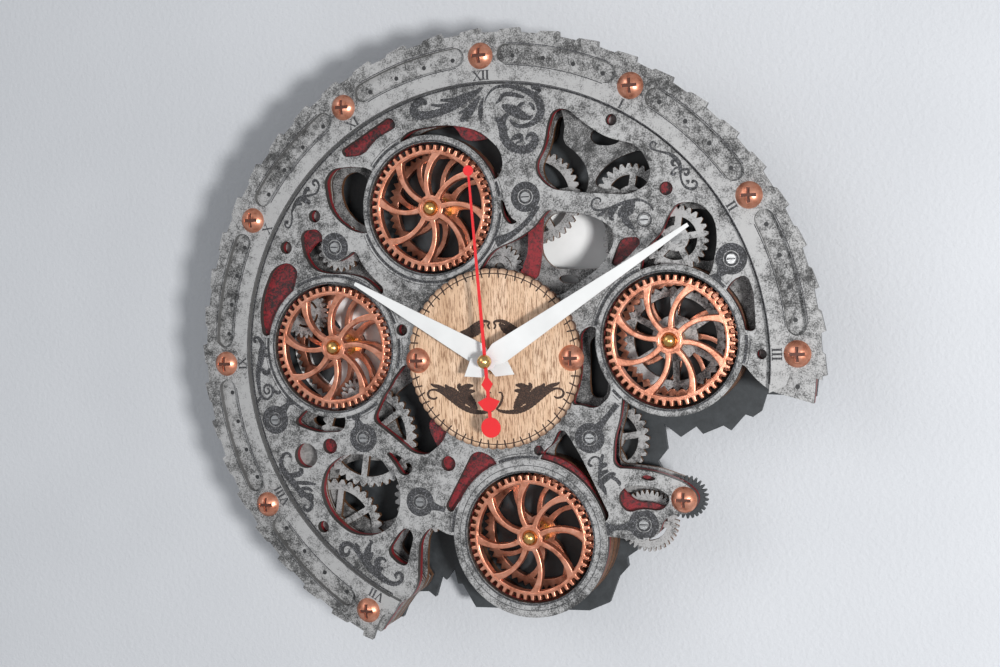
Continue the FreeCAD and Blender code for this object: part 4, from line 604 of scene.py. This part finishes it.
left_scrolls = [
    [(-123.1, 79.6, 1.6), (-122.5, 81.1, 1.4), (-124, 80.5, 1.2), (-123.8, 78.3, 1.2),
     (-121.9, 77.4, 1.1), (-120.3, 79.3, 1.1), (-119.4, 83, 1.0), (-119.4, 86.1, 1.1),
     (-117.8, 89.3, 2.2), (-115, 92.7, 3.0), (-111.9, 94.6, 2.2), (-107.5, 95.2, 1.2),
     (-103.8, 96.1, 1.2), (-101.6, 99.3, 1.1), (-102.2, 102.4, 1.5), (-104.1, 103.6, 1.8),
     (-105.2, 102, 1.5), (-104, 100.4, 1.2)],
    [(-113, 93.8, 2), (-110.5, 92.5, 3.4), (-108.2, 91.2, 2.2), (-108.8, 90, 1)],
    [(-117, 90.5, 1.5), (-114.8, 90.8, 2.2), (-112.8, 90.2, 1.4)],
    [(-111.5, 95, 1.5), (-110, 97.8, 2.6), (-108.4, 99.2, 2), (-107.8, 97.4, 1)],
    [(-146.6, 12.3, 2), (-148, 12.8, 2), (-147.6, 14.4, 1.6), (-145.8, 14.8, 1.8),
     (-143.9, 12.8, 2.6), (-142.6, 10, 3.2), (-143.4, 6.6, 4), (-144.2, 2.3, 4),
     (-145.8, -2.7, 3.4), (-146.7, -7.7, 3), (-146.6, -12.7, 2.6), (-146, -17.7, 1.8),
     (-144.2, -20.6, 1.4), (-141.3, -21.3, 1.4), (-138.8, -19.5, 1.5), (-137.8, -17, 1.5),
     (-138.4, -14.2, 1.4), (-141, -13, 1.4), (-143, -14.2, 1.3), (-143.3, -16.4, 1.2),
     (-142, -18.2, 1.2), (-140.2, -17.7, 1.2), (-140, -15.8, 1.0), (-141.2, -15, 1.2)],
    [(-142, 9, 2), (-140.6, 8.2, 1.4), (-140, 9.2, 0.6)],
    [(-142, 4.5, 3), (-140.4, 4, 1.8), (-139.6, 5, 0.6)],
    [(-144.6, -3, 2), (-142.5, -5.5, 3), (-140.2, -6, 3), (-138.9, -3.4, 1.6)],
    [(-138, -15, 1.5), (-136.2, -17, 2), (-134, -17.8, 2), (-132.6, -16.6, 1.4)],
    [(-145.6, -20, 1.4), (-147, -22, 1.6), (-147.8, -23.6, 1)],
]
lower_scrolls = [
    [(-129, -55.5, 1.6), (-128.6, -54.2, 1.6), (-130.4, -53, 1.6), (-132.8, -54, 2),
     (-134.5, -56.8, 2.6), (-134.6, -60.6, 3.2), (-132.6, -64.4, 4.2), (-129.6, -68, 4.2),
     (-126.8, -71.4, 4), (-123.6, -75.2, 3.6), (-119, -78.4, 3), (-116.3, -81.6, 2.2),
     (-117, -84.8, 2.2), (-119.6, -86.6, 2.2), (-121.6, -84.8, 1.6), (-120.6, -83, 1)],
    [(-131, -66, 2), (-126.5, -65.8, 3.2), (-122.8, -64.8, 3.2), (-121.8, -62.8, 2.2),
     (-123.6, -62.2, 1)],
    [(-127, -70, 1.5), (-121.5, -70.4, 2.4), (-117, -70.6, 2.2), (-113.2, -71.2, 0.8)],
    [(-122.5, -73.8, 2), (-118.5, -73.6, 2.4), (-115.4, -75.2, 1.2)],
    [(-119, -76.5, 1), (-116.2, -77.6, 2), (-115.6, -80.2, 1)],
    [(-124, -75.5, 0.8), (-123.2, -78, 1.6), (-122, -78.8, 0.6)],
    [(-93.9, -108.6, 1), (-95, -111.4, 2), (-97.4, -112, 2.6), (-99, -110, 3.2),
     (-98.6, -107.2, 3.4), (-96, -105.4, 3), (-92.6, -106, 2.6), (-89.8, -109, 2.8),
     (-86.8, -112.4, 3.6), (-83.6, -116.6, 4.6), (-79.6, -120.8, 4.6), (-75, -124.4, 4),
     (-70.2, -127.2, 3.2), (-66, -127.8, 2.6), (-62.6, -125.8, 2.2), (-62, -122.8, 2),
     (-64, -121.4, 1.8), (-66.2, -122.8, 1.6), (-65.4, -124.8, 1)],
    [(-88.5, -110.5, 2), (-88.8, -107.4, 2.8), (-90.2, -105, 1)],
    [(-85, -113.5, 2.5), (-82.6, -109.4, 4), (-81, -105.8, 2.2), (-79.6, -104, 1.4),
     (-81.4, -103, 0.8)],
    [(-83, -116, 2), (-80.8, -112, 2.6), (-79.2, -110, 0.8)],
    [(-77.5, -122, 2), (-77, -118, 4), (-76.4, -114.6, 3.4), (-73.8, -113.4, 2),
     (-71.6, -114.6, 1), (-72.6, -115.8, 0.6)],
    [(-75.6, -121.6, 1.5), (-74.4, -119, 1.6), (-73.4, -120.4, 0.6)],
    [(52.3, -58.5, 1.4), (51.6, -59.4, 1.2), (50.7, -57.9, 1.4), (52, -55.4, 1.2),
     (54.2, -54.3, 1), (56.2, -54.9, 1.2), (57.5, -56.6, 2.2), (57.2, -59.9, 2.4),
     (56.5, -63.2, 1.6), (56.2, -66.5, 1.6), (57, -69.4, 3), (58.7, -72.2, 2.6),
     (59.8, -75, 0.8)],
    [(57.5, -57, 2), (58.6, -54, 2), (58.2, -52.8, 1)],
    [(57.4, -60, 2), (60, -58.5, 2.6), (61, -57.8, 1)],
    [(56.6, -65.5, 1.4), (58.8, -62.9, 2.4), (61.5, -61.8, 1.6)],
    [(57, -69, 3), (59.5, -66.5, 3.4), (62, -64.6, 3.2), (64, -63.4, 2), (65.5, -64, 1.6)],
    [(63, -65, 2), (65.5, -66.5, 2), (67.4, -68.6, 2), (67.2, -70, 0.8)],
]

# The same kind of ornament, burnt in the wooden disc. This half is mirrored to the left.
disc_scrolls = [
    [(2.2, -18.4, 0.8), (3.9, -18.6, 1.0), (4.4, -21.2, 1.3), (3, -24.6, 1.3),
     (0.6, -27.6, 1.0)],
    [(0.4, -27.2, 0.8), (3, -28.6, 1.6), (8, -29.2, 2.2), (14, -28.4, 3.0),
     (20, -25.6, 3.2), (26, -21.4, 2.8), (31, -18, 2.0), (35, -16.5, 1.3),
     (38.2, -17, 1.1), (39.4, -19, 1.3), (38.2, -21, 1.3), (35.4, -21.6, 1.1),
     (34, -20.6, 0.8)],
    [(11, -27.6, 2.0), (13.6, -24.2, 5.0), (16.4, -20.6, 6.2), (17.6, -17, 5.4),
     (15.4, -14.8, 3.2), (12.2, -14.4, 1.0)],
    [(11.4, -17.4, 1.0), (14, -17.6, 2.4), (17, -18.6, 2.4)],
    [(17.8, -18, 4.0), (20.6, -15, 2.8), (20, -13.2, 1.0)],
    [(18.0, -25.2, 3.4), (21.6, -21.2, 5.6), (24.8, -18, 5.4), (27.4, -15.8, 3.2),
     (28.8, -13.6, 1.0)],
    [(25, -20.6, 3.0), (29.4, -17.2, 3.6), (32.6, -15.0, 2.5), (35.4, -14.2, 1.8),
     (37.4, -13.2, 0.8)],
    [(1.2, 16.6, 0.9), (2.2, 18.4, 1.1), (1.4, 20.2, 1.2), (3.4, 21, 1.5), (6.6, 20.6, 2.0),
     (10, 18.8, 2.4), (14, 16.4, 2.0), (18.4, 15.2, 1.0)],
    [(4.4, 19.6, 1.4), (7.8, 16.4, 4.4), (12, 14.4, 4.6), (16.6, 13.6, 2.8), (20, 14.2, 0.9)],
]


def minute_hole_shade():
    """Painted shade of the small holes drilled in the plate, in the slots of the hour ring:
    flat dark discs at the minute marks.
    """
    radius, sides = 1.25, 12
    sector = 360 / sides
    slices = []
    for minute in range(-26, 17):
        if minute % 5:
            centre = polar(screw_circle, 6 * minute)
            slices += [[centre, polar(radius, sector * side, centre),
                        polar(radius, sector * (side + 1), centre)] for side in range(sides)]
    # Black discs laid on the plate's face as painted shade inside the holes
    laid_piece("minute_hole_shade", [[piece for piece in slices if on_plate(piece[0])]],
               plate_depth, black_mould)


def numeral_strokes(text):
    """Quads of one Roman numeral, cap height 1, centred on x."""
    thick, thin, serif = 0.22, 0.11, 0.08
    broad_foot, foot, side_gap = 0.19, 0.16, 0.14
    letters = {"I": 0.46, "V": 0.92, "X": 0.96}
    width = sum(letters[letter] for letter in text)
    left = -width / 2
    quads = []

    def bar(x0, y0, x1, y1, half):
        quads.append(((x0 - half, y0), (x0 + half, y0), (x1 + half, y1), (x1 - half, y1)))

    for letter in text:
        middle = left + letters[letter] / 2
        reach = letters[letter] / 2 - side_gap
        if letter == "I":
            bar(middle, serif, middle, 1 - serif, thick / 2)
            bar(middle, 0, middle, serif, broad_foot)
            bar(middle, 1 - serif, middle, 1, broad_foot)
        elif letter == "V":
            bar(middle, 0, middle - reach, 1 - serif, thick / 2)
            bar(middle, 0, middle + reach, 1 - serif, thin / 2)
            bar(middle - reach, 1 - serif, middle - reach, 1, broad_foot)
            bar(middle + reach, 1 - serif, middle + reach, 1, foot)
        else:
            bar(middle + reach, serif, middle - reach, 1 - serif, thick / 2)
            bar(middle - reach, serif, middle + reach, 1 - serif, thin / 2)
            for side in (-1, 1):
                bar(middle + side * reach, 0, middle + side * reach, serif, foot)
                bar(middle + side * reach, 1 - serif, middle + side * reach, 1, foot)
        left += letters[letter]
    return quads


def hour_numerals():
    """Plain Roman numerals round the inner edge of the hour ring."""
    cap_height, base_radius = 5.3, 151.9
    numerals = {-5: "VII", -4: "VIII", -3: "IX", -2: "X", -1: "XI", 0: "XII", 1: "I",
                2: "II", 3: "III"}
    quads = []
    for hour, text in numerals.items():
        for quad in numeral_strokes(text):
            turned = []
            for x, y in quad:
                radius = base_radius + y * cap_height
                angle = 30 * hour + math.degrees(x * cap_height / screw_circle)
                turned.append(polar(radius, angle))
            quads.append(turned)
    laid_piece("hour_numerals", [[quad] for quad in quads], ring_depth, ink)


def ring_outlines():
    """Fine dark lines along the inner edge of the hour ring and beside its slots, and a
    painted shadow of the ring's inner edge on the plate.
    """
    ring_start, ring_sweep = -153, 249
    slot_middles = range(-135, 90, 30)
    slot_sweep = 19.8
    quads = annulus((0, 0), 151.05, 151.4, ring_start, ring_sweep)
    for middle in slot_middles:
        for inner, outer in ((159.7, 160.2), (171.3, 171.8)):
            quads += annulus((0, 0), inner, outer, middle - slot_sweep / 2, slot_sweep)
    laid_piece("ring_lines", [quads], ring_depth, ink)
    # Painted shadow of the ring's inner edge, laid on the plate
    shadow = annulus((0, 0), 149.8, 150.9, ring_start, ring_sweep, 2)
    laid_piece("ring_shadow_line", [kept(shadow)], plate_depth, ink)


def bezel_outlines():
    """Dark band round the foot of each raised bezel, a finer line farther out, and a dark
    band inside on the bezel itself. The bottom one has a second line on its broader face.
    """
    grooves = []
    rims = []
    for place in wheel_places:
        centre = node_centre("front_wheel_" + place)
        outer = bottom_bezel_radius if place == "bottom" else bezel_radius
        grooves.append(kept(annulus(centre, outer - 0.3, outer + 1.3)))
        grooves.append(kept(annulus(centre, outer + 2.2, outer + 2.55)))
        rims.append(annulus(centre, 36.7, 37.7))
        if place == "bottom":
            rims.append(annulus(centre, 40.3, 40.7))
    laid_piece("bezel_grooves", grooves, plate_depth, ink)
    laid_piece("bezel_inner_lines", rims, bezel_depth, ink)


def wheel_ridges():
    """Raised bead on the rim and the hub of each front wheel."""
    bead_height = 0.6
    for place in wheel_places:
        name = "front_wheel_" + place
        centre = node_centre(name)
        depth = -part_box(name)[0].y / MM
        beads = [annulus(centre, 30.8, 31.6, step=6), annulus(centre, 5.6, 6.3, step=12)]
        piece = laid_piece("rim_bead_" + place, beads, depth, copper_front,
                           "wheel_" + place, bead_height)
        bevel = piece.modifiers.new("bevel", "BEVEL")
        bevel.width = 0.2 * MM
        bevel.segments = 2


def lug_stem(centre, wheel):
    """Engraved stem from a lug to the bezel of that wheel, narrow in its middle."""
    target = node_centre("front_wheel_" + wheel)
    bezel = (bottom_bezel_radius if wheel == "bottom" else bezel_radius) + 0.3
    away = math.hypot(target[0] - centre[0], target[1] - centre[1])
    points = []
    for distance, width in ((6.2, 7.5), (9.5, 4.2), ((away - bezel + 9) / 2, 2.8),
                            (away - bezel - 2.5, 4.0), (away - bezel + 0.5, 8.0)):
        share = distance / away
        points.append((centre[0] + (target[0] - centre[0]) * share,
                       centre[1] + (target[1] - centre[1]) * share, width))
    return ribbon(points, 4)


def lug_engravings():
    """Dark engraved discs round the small screws, stems to the bezels, and painted shade
    inside each screw's slot.
    """
    lugs = [((-93.7, 65.0), None), ((21.1, 87.8), None), ((132.0, 50.0), "right"),
            ((-137.0, -33.5), "left"), ((-81.8, -44.1), "left"), ((-48.8, -80.4), "bottom"),
            ((51.8, -44.1), "right"), ((80.0, -90.9), "bottom")]
    groups = []
    for centre, wheel in lugs:
        groups.append(kept(annulus(centre, 4.3, 7.4, step=8)))
        groups.append(kept(annulus(centre, 7.4, 8.3, step=8)))
        groups.append(kept(annulus(centre, 2.7, 3.9, step=10)))
        if wheel:
            groups.append(kept(lug_stem(centre, wheel)))
    curved_stem = [(27, 83, 5), (25, 78.5, 3.2), (22, 75, 2.8), (16, 70, 3), (10, 66.5, 4),
                   (3, 64, 6)]
    groups.append(kept(ribbon(curved_stem, 5)))
    groups.append(kept(annulus(bridge_screw, 3.4, 4.1, step=10)))
    laid_piece("lug_engraving", groups, plate_depth, ink)
    # Dark bars halfway down the screw heads: painted shade in the screws' slots
    head_depth = -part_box("lug_screws")[0].y / MM
    half_length, half_width = 2.2, 0.3
    slots = [rectangle(centre, half_length, half_width)
             for centre in [centre for centre, _ in lugs] + [bridge_screw]]
    laid_piece("lug_slot_shade", [slots], (head_depth + plate_depth) / 2, ink)


def plate_ornament():
    """Leaves and scrolls on the front plate."""
    scrolls = top_scrolls + right_scrolls + left_scrolls + lower_scrolls
    groups = [kept(ribbon(scroll, 8, 0.11)) for scroll in scrolls]
    laid_piece("leaf_engraving", groups, plate_depth, ink)


def disc_drawing():
    """Burnt border line, stitches and leaves on the wooden disc."""
    stitch_inner, stitch_outer, lean = 44.8, 49.2, 0.9
    behind_screws = (15, 45)
    groups = [annulus((0, 0), 46.8, 47.4)]
    for minute in range(60):
        if minute not in behind_screws:
            angle = 6 * minute
            side = lean if minute % 2 else -lean
            inner = polar(stitch_inner, angle + side * 0.6)
            outer = polar(stitch_outer, angle - side * 0.4)
            groups.append(ribbon([(*inner, 0.7), (*outer, 1.0)], 2))
    for scroll in disc_scrolls:
        leaf = ribbon(scroll, 8, 0.1)
        groups += [leaf, mirrored(leaf)]
    laid_piece("disc_drawing", groups, disc_depth, burnt)


def screw_cross_shade():
    """Painted shade on the floor of the cross recess in each large copper screw: a dark cross
    laid in each recess.
    """
    floor_height, half_length, half_width = 2.4, 4.0, 0.9
    places = [(polar(screw_circle, 30 * hour), ring_depth) for hour in range(-5, 4)]
    places += [((-disc_screw, 0), disc_depth), ((disc_screw, 0), disc_depth),
               (arm_screw, plate_depth)]
    for number, (centre, seat) in enumerate(places):
        groups = [[rectangle(centre, half_length, half_width)],
                  [rectangle(centre, half_width, half_length)]]
        # A dark cross of painted shade at the floor of this screw's recess
        laid_piece("screw_cross_%d" % number, groups, seat + floor_height, recess_painted_shade)


def ball_cap():
    """Gold cap over the seconds hand's hub: a ball without its rear."""
    radius, rings, segments = 3.86, 8, 28
    lowest = -18
    flattening = 0.06
    centre_depth = -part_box("second_hand")[0].y / MM - 3.8
    vertices = []
    for ring in range(rings):
        lift = math.radians(lowest + (90 - lowest) * ring / rings)
        for segment in range(segments):
            turn = 2 * math.pi * segment / segments
            vertices.append((radius * math.cos(lift) * math.cos(turn) * MM,
                             -(centre_depth + radius * math.sin(lift)) * MM,
                             radius * math.cos(lift) * math.sin(turn) * MM))
    vertices.append((0, -(centre_depth + radius - flattening) * MM, 0))
    faces = []
    for ring in range(rings - 1):
        for segment in range(segments):
            following = (segment + 1) % segments
            faces.append((ring * segments + segment, ring * segments + following,
                          (ring + 1) * segments + following, (ring + 1) * segments + segment))
    top = len(vertices) - 1
    start = (rings - 1) * segments
    for segment in range(segments):
        faces.append((start + segment, start + (segment + 1) % segments, top))
    mesh = bpy.data.meshes.new("gold_ball_cap")
    mesh.from_pydata(vertices, [], faces)
    mesh.materials.append(brass("gold_cap", (0.78, 0.52, 0.20)))
    for polygon in mesh.polygons:
        polygon.use_smooth = True
    piece = bpy.data.objects.new("gold_ball_cap", mesh)
    bpy.context.scene.collection.objects.link(piece)
    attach(piece, "seconds")


def wall():
    """Plain pale plaster wall. It lets the view and part of the light through from behind."""
    light_through = 0.6
    reach, behind_clock = 6.0, 0.0003
    m = Nodes("pale_wall", 0.9)
    m.colour(m.ramp(m.noise(3, 3), [(0.3, (0.49, 0.50, 0.52)), (0.7, (0.56, 0.57, 0.59))]))
    m.bump(m.noise(330, 4, 0.6), 1.0, 0.5)
    clear = m.add("ShaderNodeBsdfTransparent")
    side = m.add("ShaderNodeNewGeometry")
    blend = m.add("ShaderNodeMixShader")
    path = m.add("ShaderNodeLightPath")
    passed = m.math("MULTIPLY", path.outputs["Is Shadow Ray"], light_through)
    m.link(m.math("MAXIMUM", side.outputs["Backfacing"], passed), blend.inputs["Fac"])
    m.link(m.shader.outputs["BSDF"], blend.inputs[1])
    m.link(clear.outputs["BSDF"], blend.inputs[2])
    output = [n for n in m.tree.nodes if n.type == "OUTPUT_MATERIAL"][0]
    m.link(blend.outputs["Shader"], output.inputs["Surface"])
    mesh = bpy.data.meshes.new("wall")
    corners = ((-reach, -reach), (reach, -reach), (reach, reach), (-reach, reach))
    mesh.from_pydata([(x, behind_clock, z) for x, z in corners], [], [(0, 1, 2, 3)])
    mesh.materials.append(m.material)
    piece = bpy.data.objects.new("wall", mesh)
    bpy.context.scene.collection.objects.link(piece)


def lamp(name, place, target, size, power):
    """White square lamp of that size in metres and power in watts, aimed at the target."""
    data = bpy.data.lights.new(name, "AREA")
    data.size = size
    data.energy = power
    piece = bpy.data.objects.new(name, data)
    bpy.context.scene.collection.objects.link(piece)
    piece.location = place
    aim = Vector(target) - Vector(place)
    piece.rotation_euler = aim.to_track_quat("-Z", "Y").to_euler()
    return piece


def lights():
    """Window light from the right, soft fill, a lamp for the back, and pale surroundings."""
    dial, ring_right = (0, 0, 0), (0.165, 0, 0.03)
    lamp("window_lamp", (1.05, -1.36, -0.14), dial, 0.22, 29)
    lamp("fill_lamp", (-1.6, -2.2, 1.4), dial, 1.8, 16)
    lamp("back_lamp", (0.6, 2.2, 1.2), dial, 1.6, 40)
    # A reflection on the right side of the ring and of the copper wheels, and no more
    glow = lamp("ring_glow", (0.10, -1.25, -0.03), ring_right, 0.32, 2.3)
    glow.visible_diffuse = False
    world = bpy.data.worlds.new("studio")
    world.use_nodes = True
    background = world.node_tree.nodes["Background"]
    background.inputs["Color"].default_value = (0.86, 0.90, 0.95, 1)
    background.inputs["Strength"].default_value = 0.45
    bpy.context.scene.world = world


def camera():
    """The photograph's camera: to the right of the clock and slightly above its centre."""
    place = (0.26723, -0.82731, 0.06446)
    roll, yaw, tilt = -0.0464, 0.3248, -0.0766
    data = bpy.data.cameras.new("camera")
    data.sensor_width = 36
    data.lens = 53.81
    piece = bpy.data.objects.new("camera", data)
    bpy.context.scene.collection.objects.link(piece)
    turn = (Matrix.Rotation(roll, 3, "Z") @ Matrix.Rotation(yaw, 3, "Y")
            @ Matrix.Rotation(tilt, 3, "X"))
    facing_the_wall = Matrix(((1, 0, 0), (0, 0, -1), (0, 1, 0)))
    piece.matrix_world = Matrix.Translation(place) @ (facing_the_wall @ turn).to_4x4()
    bpy.context.scene.camera = piece


# Solids by how broadly their edges are rounded
broad_edges = ("front_plate", "chapter_ring", "dial_disc", "bridge_plate")
fine_edges = ("red_plate", "toothed_layer", "middle_gear", "window_gears", "white_ring",
              "hour_hand", "minute_hand", "second_hand")
for name, solid in nodes.items():
    if name.startswith("front_wheel"):
        soften(solid, 0.95, 3)
    elif name.startswith("rear_wheel"):
        soften(solid, 0.5, 2)
    elif name in broad_edges:
        soften(solid, 0.3, 2)
    elif name.startswith("gear_") or name in fine_edges:
        soften(solid, 0.15, 2)

minute_hole_shade()
hour_numerals()
ring_outlines()
bezel_outlines()
wheel_ridges()
lug_engravings()
plate_ornament()
disc_drawing()
screw_cross_shade()
ball_cap()
wall()
lights()
camera()
bpy.context.scene.view_settings.view_transform = "Standard"
